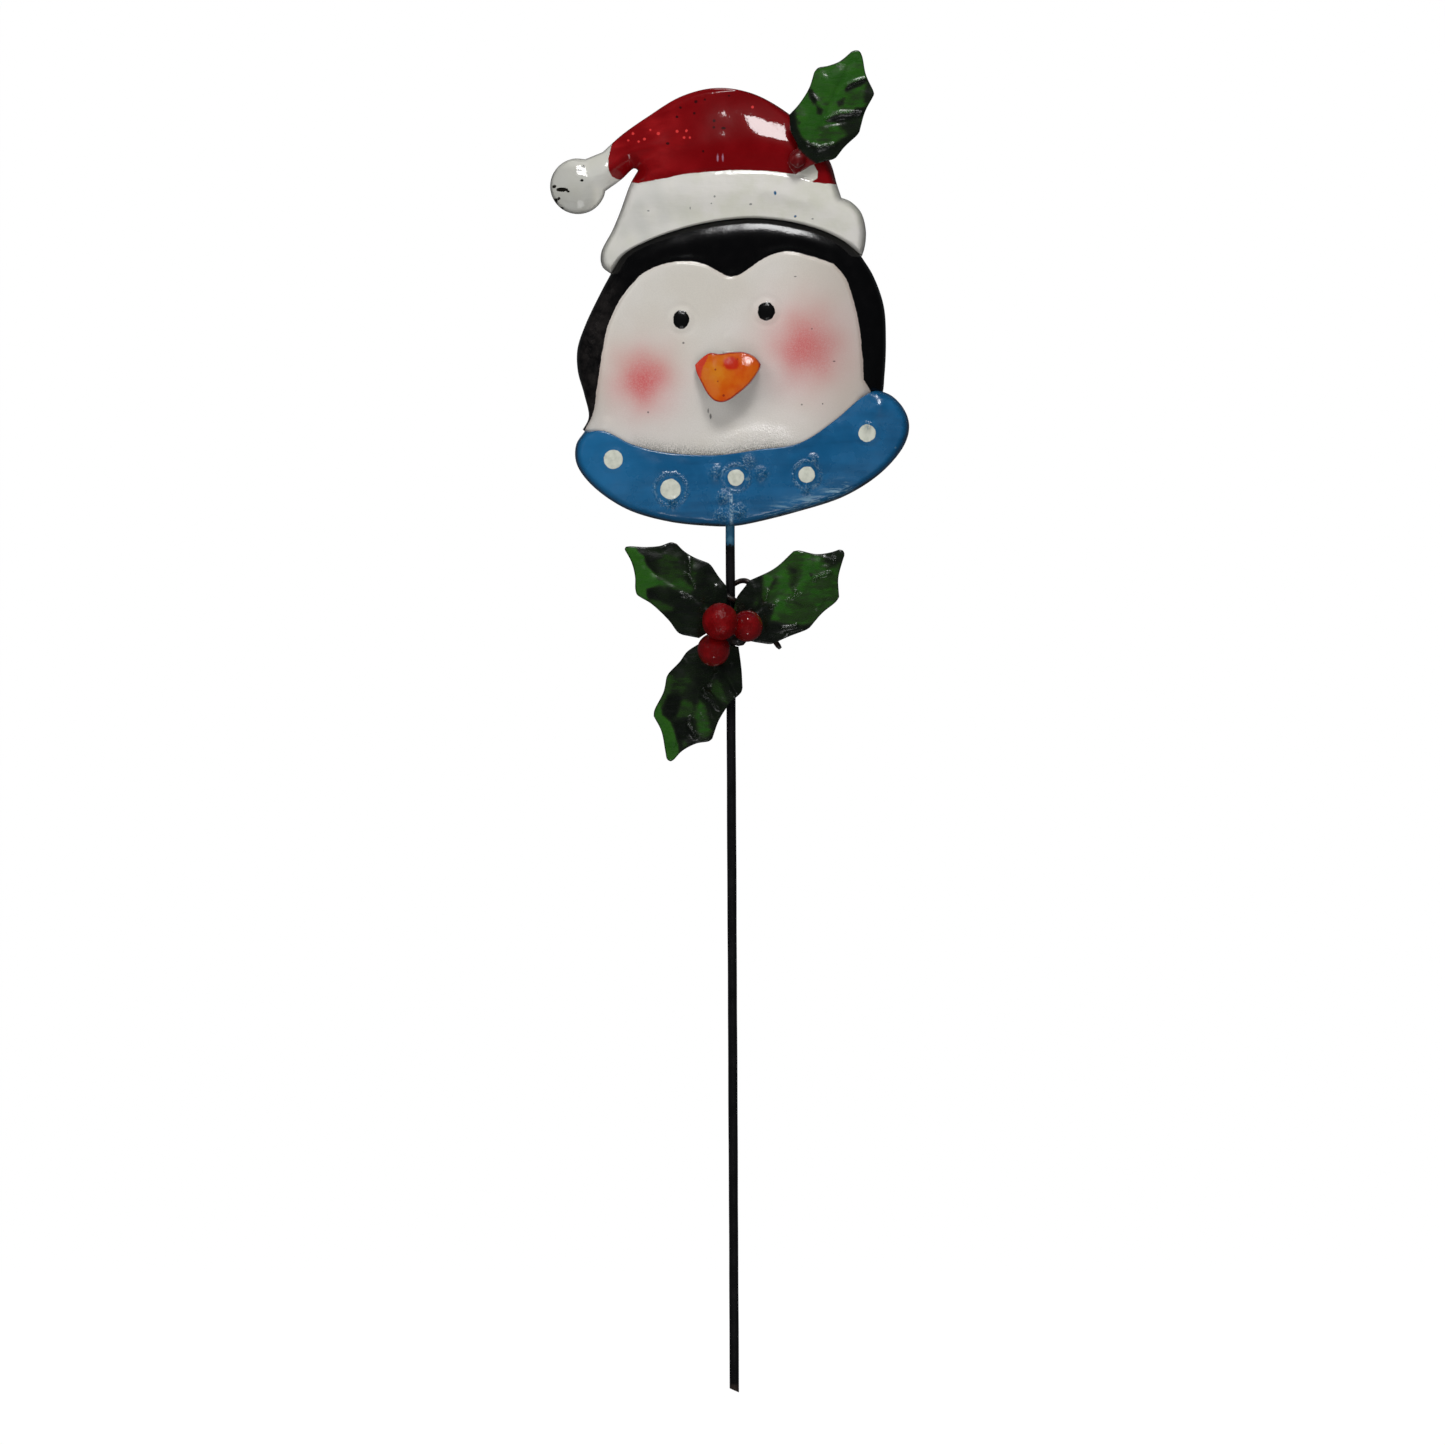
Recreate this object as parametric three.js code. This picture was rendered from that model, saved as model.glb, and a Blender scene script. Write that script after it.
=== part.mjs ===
// A painted sheet-steel garden stake: a penguin's head in a Santa hat and a scarf on a wire rod, with a sprig
// of holly hooked round the rod below it.
// Millimetres, +Z up the rod, +X to the viewer's right, front towards -Y; the origin is the rod's lower end.
// Outlines are drawn in the plane of the front, as [x, z]; a depth is the distance forward of the rod's axis.
import * as THREE from 'three';

const SHEET = 0.7;                 // steel sheet of the three large pressings
const LEAF_SHEET = 0.6;
const ROD_R = 2;                   // rod, 4 mm across
const ROD_TOP = 503;
const ROD_CUT = 0.45;              // slope of the sheared lower end
const GAP = 0.35;                  // clearance left between neighbouring pieces
const HEAD_FRONT = 10;             // depths of the flat fronts
const HAT_FRONT = 12.6;
const SCARF_FRONT = 13;
const EDGE = 9;                    // width of the rounded edge of a pressing
const LEAF_BACK = 4.7;             // the sprig's leaves lie in front of the wire turned round the rod
const WIRE_R = 1;

const colours = {
  black: 0x14161a, red: 0xb5151c, white: 0xf1efe8, blue: 0x2a63c4, orange: 0xf2981f, green: 0x1f6b2a,
  berry: 0xc1121a, wire: 0x2a211c,
};
const paint = Object.fromEntries(Object.entries(colours).map(([name, color]) =>
  [name, new THREE.MeshStandardMaterial({ name, color, roughness: 0.35, metalness: 0.1 })]));

// ---- outlines ------------------------------------------------------------------------------------------------
const at = (cx, cz, r, deg) => [cx + r * Math.cos(deg * Math.PI / 180), cz + r * Math.sin(deg * Math.PI / 180)];
const arc = (cx, cz, r, from, to, n) => Array.from({ length: n + 1 }, (_, i) => at(cx, cz, r, from + (to - from) * i / n));

// A closed outline from smooth runs. Each run starts where the one before it ended, and that point is a corner.
function outline(step, ...runs) {
  const pts = [];
  let last = runs[runs.length - 1].slice(-1)[0];
  for (const run of runs) {
    const through = [last, ...run].map(([x, z]) => new THREE.Vector3(x, 0, z));
    const curve = new THREE.CatmullRomCurve3(through, false, 'centripetal');
    const n = Math.max(1, Math.round(curve.getLength() / step));
    for (const p of curve.getSpacedPoints(n).slice(1)) pts.push([p.x, p.z]);
    last = run[run.length - 1];
  }
  const area = pts.reduce((a, p, i) => { const q = pts[(i + 1) % pts.length]; return a + p[0] * q[1] - q[0] * p[1]; }, 0);
  return area > 0 ? pts : pts.reverse();
}

const HAT = outline(4,
  [[-54, 533.6], [-46, 540.8], [-35, 548.5], [-20, 557.5], [-5, 561], [10, 558.7], [24, 551.2], [35, 541.5],
    [43.7, 529], [46.7, 519], [48.5, 513.5]],
  [[52.5, 511.8], [57, 507], [59, 499], [58.4, 492], [57.2, 488.2]],
  [[50, 494.2], [40, 499.3], [25, 503.3], [10, 504.7], [-5, 503.5], [-20, 500.3], [-35, 495], [-45, 489.4],
    [-50.7, 481.2]],
  [[-54.4, 484.3], [-55, 490], [-50, 500], [-47, 507], [-42, 520.3], [-38.9, 525.6]],
  [[-40.4, 526.6], [-46, 521.8], [-53, 516.8]],
  arc(-64.7, 519, 12, -22, -285, 12), [[-54, 533.6]]);

const HEAD = outline(4.6,
  [[-63.2, 414.4], [-60.6, 419.5], [-62.5, 429.5], [-65.2, 439.5], [-65.3, 449], [-62, 459], [-55, 473.5],
    [-50.6, 481.6], [-45, 491.8], [-35, 497.8], [-20, 503.2], [-5, 506.4], [10, 507.5], [25, 506.1], [40, 502.1],
    [50, 496.8], [57, 488.2]],
  [[62, 480], [66.5, 467], [67.4, 452], [66.7, 437], [65.4, 428], [58, 417], [44, 407], [26, 400.8], [4, 397],
    [-20, 397], [-40, 400], [-54, 405.6], [-63.2, 414.4]]);

const SCARF = outline(4.3,
  [[-54, 413.6], [-42, 407.8], [-28, 404.3], [-5, 403], [12, 405.2], [30, 408], [46, 418.3], [57, 427.7],
    [62.5, 430.3], [69, 428.7], [75, 422.5], [77.2, 415.5], [75.3, 407.5], [66, 396], [50, 385.5], [28, 378.3],
    [5.5, 373], [0, 372.4], [-5.5, 372.4], [-26, 374.5], [-45, 380.3], [-60, 391], [-66, 400], [-66, 408],
    [-62.3, 413.6]]);

const BEAK = outline(2.6,
  [[-11.6, 445.2], [-8.3, 447.2], [-4.4, 446.8], [0.5, 447.5], [5.9, 447.6], [9.5, 446.4], [12, 444.6],
    [13.6, 442.3]],
  [[13.2, 440.6], [8.9, 434.2], [4, 430], [-0.2, 427.3], [-3.2, 426.4], [-6.3, 427], [-9.3, 429.8],
    [-12.2, 434.9], [-14.2, 439.2], [-14.8, 442.2]]);

// Holly leaves: concave edges between rounded spines, so most runs end on a spine.
const HAT_LEAF = outline(3.2,
  [[53, 575.8], [48, 571.7], [43, 569.8], [38.6, 568.9], [37, 567]], [[34.8, 560.3], [30.5, 553.5], [26.2, 548.8]],
  [[26.8, 541.5], [29.6, 535], [26.6, 532.5]], [[25.6, 528], [28.6, 523.1]],
  [[34, 526.3], [41, 528.6], [46.4, 530.5]], [[50, 535], [56.3, 541.3]],
  [[58.8, 550], [62.7, 557.6]], [[59.2, 566], [57.6, 574], [54.7, 576.4]], [[53, 575.8]]);
const LEAF_LEFT = outline(3.2,
  [[-45.3, 362.4], [-42.5, 357.2], [-41, 351], [-40.9, 345.6], [-38.6, 342]],
  [[-34, 339.2], [-26.5, 332], [-20.6, 325.8]], [[-13.6, 324.4]], [[-7, 329], [-4.2, 333.8]],
  [[-1.4, 340], [-1.6, 346.6]], [[-5, 350.8], [-9.4, 356.7]], [[-16, 359.4], [-23, 365]],
  [[-25.3, 365.7], [-30, 364.2], [-36, 363.7], [-43.8, 364], [-45.3, 362.4]]);
const LEAF_RIGHT = outline(3.2,
  [[6.3, 346.6], [4.6, 340], [3.6, 336]], [[4.4, 329], [6.2, 323.4]], [[12, 322.3], [19.4, 322.4]],
  [[25, 324.9], [34, 328.7]], [[39.5, 335], [46.7, 341.8]],
  [[46.4, 350], [48.3, 357.4], [49.1, 360.2], [46.8, 362.2]],
  [[43, 361], [37, 360.3], [27.2, 361.6]], [[19, 354.3], [8, 349]]);
const LEAF_LOWER = outline(3.2,
  [[-18.8, 318.6], [-22, 314.3], [-27.7, 307.6]], [[-29, 301.4], [-33.3, 291]],
  [[-30, 284.5], [-28.3, 275.5], [-26, 271.5], [-24.6, 272.3]],
  [[-21, 276], [-15, 279.1], [-8.1, 281.2]], [[-5, 289.5], [0, 296.8], [5, 303]],
  [[4.6, 311], [3.4, 320.6]], [[-4, 322.4], [-14.4, 321.6]]);

// ---- distances inside an outline -----------------------------------------------------------------------------
function edgeDistance(loop, x, z) {
  let best = Infinity, inside = false;
  for (let i = 0, j = loop.length - 1; i < loop.length; j = i++) {
    const [ax, az] = loop[j], [bx, bz] = loop[i];
    const ex = bx - ax, ez = bz - az;
    const u = Math.min(1, Math.max(0, ((x - ax) * ex + (z - az) * ez) / (ex * ex + ez * ez)));
    best = Math.min(best, Math.hypot(x - ax - u * ex, z - az - u * ez));
    if (az > z !== bz > z && x < ax + (z - az) / (bz - az) * ex) inside = !inside;
  }
  return inside ? best : -best;
}

const rise = (d, width) => Math.sqrt(1 - (1 - Math.min(1, Math.max(0, d / width))) ** 2);

// How far forward the rim of a pressing must stop where it lies over the head.
function overHead(x, z) {
  const d = edgeDistance(HEAD, x, z) + 1.2;
  return d <= 0 ? 0 : HEAD_FRONT * rise(d, EDGE) + 0.6 * Math.min(1, d);
}
const rodSlot = (x) => (Math.abs(x) < 5 ? ROD_R + 0.8 : 0);

// ---- solids --------------------------------------------------------------------------------------------------
// A pressed sheet, open at the back: a rim at depth rim(x, z), a rounded edge, and a front at depth front(x, z).
function pressing(name, material, loop, { rim = () => 0, front, width = EDGE, sheet = SHEET, rings = 3 }) {
  const n = loop.length;
  const pos = [], idx = [];
  const inward = loop.map((p, i) => {
    const a = loop[(i + n - 1) % n], b = loop[(i + 1) % n];
    const len = Math.hypot(b[0] - a[0], b[1] - a[1]);
    return [-(b[1] - a[1]) / len, (b[0] - a[0]) / len];
  });
  // how far each point may move inwards before it meets the outline's other side
  const reach = loop.map((p, i) => {
    let d = 0.2;
    while (d < width + sheet && edgeDistance(loop, p[0] + inward[i][0] * d, p[1] + inward[i][1] * d) > d * 0.93) d += 0.2;
    return d * 0.86;
  }).map((d, i, all) => Math.min(d, all[(i + 1) % n] + 1.6, all[(i + n - 1) % n] + 1.6));
  const ring = (k, inner) => {
    const start = pos.length / 3;
    const phi = k / rings * Math.PI / 2;
    loop.forEach((p, i) => {
      const lip = inner ? Math.min(sheet, reach[i] * 0.5) : 0;
      const d = Math.min(lip + width * (1 - Math.cos(phi)), lip + (reach[i] - lip) * k / rings);
      const x = p[0] + inward[i][0] * d, z = p[1] + inward[i][1] * d;
      const back = rim(p[0], p[1]);
      pos.push(x, -(back + (front(x, z) - (inner ? sheet : 0) - back) * rise(d - lip, width)), z);
    });
    return start;
  };
  const outer = [], inner = [];
  for (let k = 0; k <= rings; k++) outer.push(ring(k, false));
  for (let k = 0; k <= rings; k++) inner.push(ring(k, true));
  const band = (from, to, flip) => {
    for (let i = 0; i < n; i++) {
      const j = (i + 1) % n;
      const quad = [from + i, from + j, to + j, to + i];
      if (flip) quad.reverse();
      idx.push(quad[0], quad[1], quad[2], quad[0], quad[2], quad[3]);
    }
  };
  for (let k = 0; k < rings; k++) { band(outer[k], outer[k + 1], false); band(inner[k], inner[k + 1], true); }
  band(outer[0], inner[0], true);
  const cap = Array.from({ length: n }, (_, i) => {
    const at3 = 3 * (outer[rings] + i);
    return new THREE.Vector2(pos[at3], pos[at3 + 2]);
  });
  for (const [a, b, c] of THREE.ShapeUtils.triangulateShape(cap, [])) {
    const ccw = (cap[b].x - cap[a].x) * (cap[c].y - cap[a].y) - (cap[b].y - cap[a].y) * (cap[c].x - cap[a].x) > 0;
    const [p, q] = ccw ? [b, c] : [c, b];
    idx.push(outer[rings] + a, outer[rings] + p, outer[rings] + q);
    idx.push(inner[rings] + a, inner[rings] + q, inner[rings] + p);
  }
  const geometry = new THREE.BufferGeometry();
  geometry.setAttribute('position', new THREE.Float32BufferAttribute(pos, 3));
  geometry.setIndex(idx);
  geometry.computeVertexNormals();
  return named(name, material, geometry);
}

function named(name, material, geometry) {
  const mesh = new THREE.Mesh(geometry, material);
  mesh.name = name;
  return mesh;
}

// A ball or a bead, squashed to its three radii; x and z in the plane of the front, depth forward of the rod.
function bead(name, material, [x, z, depth], [rx, rz, rd], around = 16, up = 10) {
  const geometry = new THREE.SphereGeometry(1, around, up);
  geometry.rotateX(Math.PI / 2);
  geometry.scale(rx, rd, rz);
  geometry.translate(x, -depth, z);
  return named(name, material, geometry);
}

// A fillet of weld across the front of the rod, between z0 and z1.
function rodWeld(name, material, z0, z1) {
  const inner = ROD_R + GAP, outer = inner + 1.7;
  const shape = new THREE.Shape();
  shape.absarc(0, 0, outer, 0.35, Math.PI - 0.35, false);
  shape.absarc(0, 0, inner, Math.PI - 0.35, 0.35, true);
  const geometry = new THREE.ExtrudeGeometry(shape, { depth: z1 - z0, bevelEnabled: false, curveSegments: 14 });
  geometry.scale(1, -1, 1);                       // to the front, which turns the faces over
  geometry.translate(0, 0, z0);
  const index = geometry.index;
  if (index) for (let i = 0; i < index.count; i += 3) {
    const b = index.getX(i + 1); index.setX(i + 1, index.getX(i + 2)); index.setX(i + 2, b);
  } else {
    const p = geometry.attributes.position;
    for (let i = 0; i < p.count; i += 3) {
      const b = [p.getX(i + 1), p.getY(i + 1), p.getZ(i + 1)];
      p.setXYZ(i + 1, p.getX(i + 2), p.getY(i + 2), p.getZ(i + 2));
      p.setXYZ(i + 2, ...b);
    }
  }
  return named(name, material, geometry);
}

// ---- the rod: sheared obliquely at its lower end ---------------------------------------------------------------
function stakeRod() {
  const geometry = new THREE.CylinderGeometry(ROD_R, ROD_R, ROD_TOP, 28, 1);
  geometry.rotateX(Math.PI / 2);
  geometry.translate(0, 0, ROD_TOP / 2);
  const p = geometry.attributes.position;
  for (let i = 0; i < p.count; i++) if (p.getZ(i) < 1) p.setZ(i, ROD_CUT * (ROD_R - p.getX(i)));
  return named('stake_rod', paint.black, geometry);
}

// ---- the wire: one and a quarter turns round the rod, a tail behind the right-hand leaf ------------------------
function sprigWire() {
  const r = ROD_R + GAP + WIRE_R;
  const path = [[21.4, 1.2, 319.8], [19.3, 1, 322.6], [15.6, 0.8, 330], [12.6, 0.8, 339], [10, 1, 345.6],
    [7.4, 1.6, 348.6], [4.6, 2.5, 349]];
  for (let deg = 50; deg <= 360; deg += 31) {
    const a = deg * Math.PI / 180;
    path.push([r * Math.cos(a), r * Math.sin(a), 348.9 - (deg - 20) / 340 * 10]);
  }
  path.push([3.2, -2.4, 337.2], [2.6, -4.6, 334], [2.4, -5.2, 330], [2.9, -5.2, 325.9]);
  const curve = new THREE.CatmullRomCurve3(path.map((p) => new THREE.Vector3(...p)), false, 'centripetal');
  const circle = new THREE.Shape();
  circle.absarc(0, 0, WIRE_R, 0, 2 * Math.PI, false);
  return named('sprig_wire', paint.wire,
    new THREE.ExtrudeGeometry(circle, { steps: 56, curveSegments: 4, bevelEnabled: false, extrudePath: curve }));
}

// ---- assembly --------------------------------------------------------------------------------------------------
const figure = new THREE.Group();
figure.name = 'penguin_garden_stake';

const headRim = (x) => rodSlot(x);
const scarfRim = (x, z) => Math.max(overHead(x, z), z < 380 ? rodSlot(x) : 0);
const beakBack = (x, z) => HEAD_FRONT + GAP + 0.4 + Math.max(0, 445 - z) * 0.4;
const leafBack = () => LEAF_BACK;
const hatLeafBack = () => HAT_FRONT + GAP;

figure.add(
  stakeRod(),
  pressing('head_shell', paint.black, HEAD, { rim: headRim, front: () => HEAD_FRONT }),
  pressing('hat_shell', paint.red, HAT, { rim: overHead, front: () => HAT_FRONT }),
  pressing('scarf_shell', paint.blue, SCARF, { rim: scarfRim, front: () => SCARF_FRONT }),
  pressing('beak', paint.orange, BEAK,
    { rim: beakBack, front: (x, z) => beakBack(x, z) + 3, width: 5, sheet: 0.6, rings: 3 }),
  pressing('hat_leaf', paint.green, HAT_LEAF,
    { rim: hatLeafBack, front: () => HAT_FRONT + GAP + 1.6, width: 4, sheet: LEAF_SHEET, rings: 2 }),
  bead('hat_leaf_rivet', paint.red, [30.2, 531.2, HAT_FRONT + 3.2], [2.4, 2.4, 1.1], 12, 6),
  bead('beak_weld', paint.orange, [0, 448.6, HEAD_FRONT + 1.1], [3.2, 0.7, 0.7], 10, 6),
);
for (const [name, loop] of [['holly_leaf_left', LEAF_LEFT], ['holly_leaf_right', LEAF_RIGHT],
  ['holly_leaf_lower', LEAF_LOWER]]) {
  figure.add(pressing(name, paint.green, loop,
    { rim: leafBack, front: () => LEAF_BACK + 1.5, width: 4, sheet: LEAF_SHEET, rings: 2 }));
}
for (const [name, x, z, depth, r, tall] of [['berry_large', -4.5, 331.4, 20.6, 7.4, 7.8],
  ['berry_right', 7.1, 329.5, 12.8, 6.4, 6.4], ['berry_lower', -7.3, 318.8, 13.3, 6.8, 6.8]]) {
  figure.add(bead(name, paint.berry, [x, z, depth], [r, tall, r]));
}
figure.add(
  sprigWire(),
  bead('sprig_weld', paint.wire, [3.8, 323.2, 5.2], [2.6, 1.7, 1.5], 10, 6),
  rodWeld('rod_weld_scarf', paint.wire, 374.2, 376.6),
  rodWeld('rod_weld_head', paint.wire, 399, 401.4),
);
for (const [side, x] of [['left', -1], ['right', 1]]) {
  figure.add(
    bead(`hat_weld_${side}`, paint.wire, [x * 26, x < 0 ? 504.4 : 509, 5.5], [2.6, 1.4, 1.4], 10, 6),
    bead(`scarf_weld_${side}`, paint.wire, [x * 30, x < 0 ? 396.4 : 399.2, 6], [2.6, 1.2, 1.4], 10, 6),
  );
}
export default figure;
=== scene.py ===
"""The looks of the penguin garden stake: pressed, enamelled sheet steel on a wire rod, with a holly sprig.

Outlines are x, z, x, z and so on, in millimetres in the plane of the front. A depth is the distance forward
of the rod's axis, and d is the distance inwards from a pressing's outline.
"""
import math

import bmesh
import bpy
import numpy as np
from mathutils import Matrix, Vector
from mathutils.geometry import delaunay_2d_cdt


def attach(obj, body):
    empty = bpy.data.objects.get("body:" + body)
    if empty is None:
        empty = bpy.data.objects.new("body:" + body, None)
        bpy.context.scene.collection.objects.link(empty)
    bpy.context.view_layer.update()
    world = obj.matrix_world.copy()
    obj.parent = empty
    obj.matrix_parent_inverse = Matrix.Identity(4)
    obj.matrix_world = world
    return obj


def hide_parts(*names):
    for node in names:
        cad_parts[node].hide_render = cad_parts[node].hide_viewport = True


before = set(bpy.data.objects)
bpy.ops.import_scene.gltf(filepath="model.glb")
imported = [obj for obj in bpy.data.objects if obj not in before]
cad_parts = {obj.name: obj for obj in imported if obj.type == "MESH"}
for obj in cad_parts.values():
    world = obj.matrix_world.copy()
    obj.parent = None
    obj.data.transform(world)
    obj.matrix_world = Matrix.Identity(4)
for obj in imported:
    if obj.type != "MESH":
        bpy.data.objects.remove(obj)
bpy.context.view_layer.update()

MM = 0.001
SHEET, LEAF_SHEET = 0.7, 0.6
ROD_R, ROD_TOP = 2.0, 503.0
EDGE = 4.0                       # width of a pressing's rounded edge
HEAD_FRONT, HAT_FRONT, SCARF_FRONT = 10.0, 12.6, 13.0
LEAF_BACK = 4.7
LIP = 0.8                         # how far a lapping sheet stands forward of its rim


# ---- outlines ----
def spline(points, step):
    """A centripetal Catmull-Rom curve through points, in even steps. The first point is left out."""
    p = np.array(points, float)
    ext = np.vstack([2 * p[0] - p[1], p, 2 * p[-1] - p[-2]])
    dense = []
    for a, b, c, d in zip(ext, ext[1:], ext[2:], ext[3:]):
        t = np.cumsum([0] + [np.sqrt(np.linalg.norm(v - w)) + 1e-9 for v, w in ((b, a), (c, b), (d, c))])
        u = np.linspace(t[1], t[2], 14, endpoint=False)[:, None]
        a1 = (t[1] - u) / (t[1] - t[0]) * a + (u - t[0]) / (t[1] - t[0]) * b
        a2 = (t[2] - u) / (t[2] - t[1]) * b + (u - t[1]) / (t[2] - t[1]) * c
        a3 = (t[3] - u) / (t[3] - t[2]) * c + (u - t[2]) / (t[3] - t[2]) * d
        b1 = (t[2] - u) / (t[2] - t[0]) * a1 + (u - t[0]) / (t[2] - t[0]) * a2
        b2 = (t[3] - u) / (t[3] - t[1]) * a2 + (u - t[1]) / (t[3] - t[1]) * a3
        dense.append((t[2] - u) / (t[2] - t[1]) * b1 + (u - t[1]) / (t[2] - t[1]) * b2)
    dense = np.vstack(dense + [p[-1:]])
    s = np.concatenate([[0], np.cumsum(np.linalg.norm(np.diff(dense, axis=0), axis=1))])
    n = max(1, round(s[-1] / step))
    at = np.linspace(0, s[-1], n + 1)[1:]
    return np.stack([np.interp(at, s, dense[:, i]) for i in range(dense.shape[1])], 1)


def pairs(numbers):
    """Points from a list of x, z, x, z and so on."""
    return np.reshape(numbers, (-1, 2)).astype(float)


def outline(step, *runs):
    """A closed outline from smooth runs; each starts at the end of the one before it, which is a corner."""
    runs = [pairs(run) for run in runs]
    last, out = runs[-1][-1], []
    for run in runs:
        out.append(spline([last, *run], step))
        last = run[-1]
    p = np.vstack(out)
    q = np.roll(p, -1, 0)
    return p if (p[:, 0] * q[:, 1] - q[:, 0] * p[:, 1]).sum() > 0 else p[::-1]


def arc(cx, cz, r, start, end, n):
    return [[cx + r * math.cos(math.radians(a)), cz + r * math.sin(math.radians(a))]
            for a in np.linspace(start, end, n + 1)]


def inside(loop, pts):
    """Distance from each point to the outline, positive inside, and the outline's nearest point."""
    a, b = loop, np.roll(loop, -1, 0)
    e = b - a
    dist, near = np.empty(len(pts)), np.empty((len(pts), 2))
    for i in range(0, len(pts), 3000):
        p = pts[i:i + 3000, None]
        u = np.clip(((p - a) * e).sum(2) / (e * e).sum(1), 0, 1)
        q = a + u[..., None] * e
        r = np.linalg.norm(p - q, axis=2)
        k = r.argmin(1)
        rows = np.arange(len(k))
        x, z = p[..., 0], p[..., 1]
        dz = np.where(e[:, 1] == 0, 1e-12, e[:, 1])
        hit = ((a[:, 1] > z) != (b[:, 1] > z)) & (x < a[:, 0] + (z - a[:, 1]) / dz * e[:, 0])
        sign = np.where(hit.sum(1) % 2 == 1, 1.0, -1.0)
        dist[i:i + 3000], near[i:i + 3000] = r[rows, k] * sign, q[rows, k]
    return dist, near


def to_line(line, pts):
    """Distance from each point to an open line."""
    line, best = pairs(line), np.full(len(pts), 1e9)
    for a, b in zip(line, line[1:]):
        u = np.clip(((pts - a) @ (b - a)) / ((b - a) @ (b - a)), 0, 1)
        best = np.minimum(best, np.linalg.norm(pts - a - u[:, None] * (b - a), axis=1))
    return best


STEP, BEAK_STEP, LEAF_STEP = 1.1, 0.7, 0.8      # spacing of the points along an outline
HAT = outline(STEP,
    [-54, 533.6, -46, 540.8, -35, 548.5, -20, 557.5, -5, 561, 10, 558.7, 24, 551.2, 35, 541.5, 43.7, 529,
    46.7, 519, 48.5, 513.5],
    [52.5, 511.8, 57, 507, 59, 499, 58.4, 492, 57.2, 488.2],
    [50, 494.2, 40, 499.3, 25, 503.3, 10, 504.7, -5, 503.5, -20, 500.3, -35, 495, -45, 489.4, -50.7, 481.2],
    [-54.4, 484.3, -55, 490, -50, 500, -47, 507, -42, 520.3, -38.9, 525.6],
    [-40.4, 526.6, -46, 521.8, -53, 516.8], arc(-64.7, 519, 12, -22, -285, 12),
    [-54, 533.6])
HEAD = outline(STEP,
    [-63.2, 414.4, -60.6, 419.5, -62.5, 429.5, -65.2, 439.5, -65.3, 449, -62, 459, -55, 473.5, -50.6, 481.6,
    -45, 491.8, -35, 497.8, -20, 503.2, -5, 506.4, 10, 507.5, 25, 506.1, 40, 502.1, 50, 496.8, 57, 488.2],
    [62, 480, 66.5, 467, 67.4, 452, 66.7, 437, 65.4, 428, 58, 417, 44, 407, 26, 400.8, 4, 397, -20, 397,
    -40, 400, -54, 405.6, -63.2, 414.4])
SCARF = outline(STEP,
    [-54, 413.6, -42, 407.8, -28, 404.3, -5, 403, 12, 405.2, 30, 408, 46, 418.3, 57, 427.7, 62.5, 430.3,
    69, 428.7, 75, 422.5, 77.2, 415.5, 75.3, 407.5, 66, 396, 50, 385.5, 28, 378.3, 5.5, 373, 0, 372.4,
    -5.5, 372.4, -26, 374.5, -45, 380.3, -60, 391, -66, 400, -66, 408, -62.3, 413.6])
FACE = outline(STEP,
    [-62.4, 414.2, -59, 420.5, -57, 432, -54.5, 448, -52, 459, -47, 469.5, -38, 480.3, -30, 484.5,
    -20, 486.3, -11, 485, -4.5, 481.8, -1, 479.8],
    [1.5, 479.6, 6, 481.3, 14, 486.8, 20, 489.4, 26, 490.3, 34, 488.5, 45, 484.8],
    [50, 479, 53.5, 469, 56, 457, 57.3, 443, 57.7, 435],
    [61, 429.3, 66, 420, 44, 403, 10, 393, -25, 393, -55, 402, -62.4, 414.2])
BEAK = outline(BEAK_STEP,
    [-11.6, 444.8, -8.3, 446.8, -4.4, 446.4, 0.5, 447.1, 5.9, 447.2, 9.5, 446, 12, 444.2, 13.6, 441.8],
    [13.2, 440, 8.9, 433.6, 4, 429.3, -0.2, 426.4, -3.2, 425.5, -6.3, 426.1, -9.3, 429, -12.2, 434.3,
    -14.2, 438.7, -14.8, 441.7])
HAT_LEAF = outline(LEAF_STEP, [53, 575.8, 48, 571.7, 43, 569.8, 38.6, 568.9, 37, 567], [34.8, 560.3,
    30.5, 553.5, 26.2, 548.8], [26.8, 541.5, 29.6, 535, 26.6, 532.5], [25.6, 528, 28.6, 523.1], [34, 526.3,
    41, 528.6, 45.2, 529.7, 46.4, 530.5], [50, 535, 55.4, 540, 56.3, 541.3], [58.8, 550, 62, 556,
    62.7, 557.6, 62.2, 559.4], [59.2, 566, 57.6, 574, 56.4, 576.1, 54.7, 576.4, 53, 575.8])
LEAF_LEFT = outline(LEAF_STEP, [-45.3, 362.4, -42.5, 357.2, -41, 351, -40.9, 345.6, -40.2, 343.2,
    -38.6, 342], [-34, 339.2, -26.5, 332, -22.6, 326.8, -20.6, 325.8], [-13.6, 324.4], [-7, 329,
    -4.2, 333.8], [-1.4, 340, -1.6, 346.6], [-5, 350.8, -8.2, 355.6, -9.4, 356.7], [-16, 359.4, -20, 362,
    -23, 365], [-25.3, 365.7, -30, 364.2, -36, 363.7, -43.8, 364, -45.2, 363.6, -45.3, 362.4])
LEAF_RIGHT = outline(LEAF_STEP, [6.3, 346.6, 2.6, 341.6, 1.2, 336.4], [3, 329, 6.2, 323.4], [12, 322.3,
    17.4, 321.7, 19.4, 322.4], [25, 324.9, 32.6, 327.8, 34, 328.7], [39.5, 335, 45.4, 339.8, 46.7, 341.8],
    [46.4, 350, 48.3, 357.4, 49.1, 360.2, 48.4, 361.8, 46.8, 362.2], [43, 361, 37, 360.3, 29.2, 361.9,
    27.2, 361.6], [19, 354.3, 8, 349])
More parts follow.
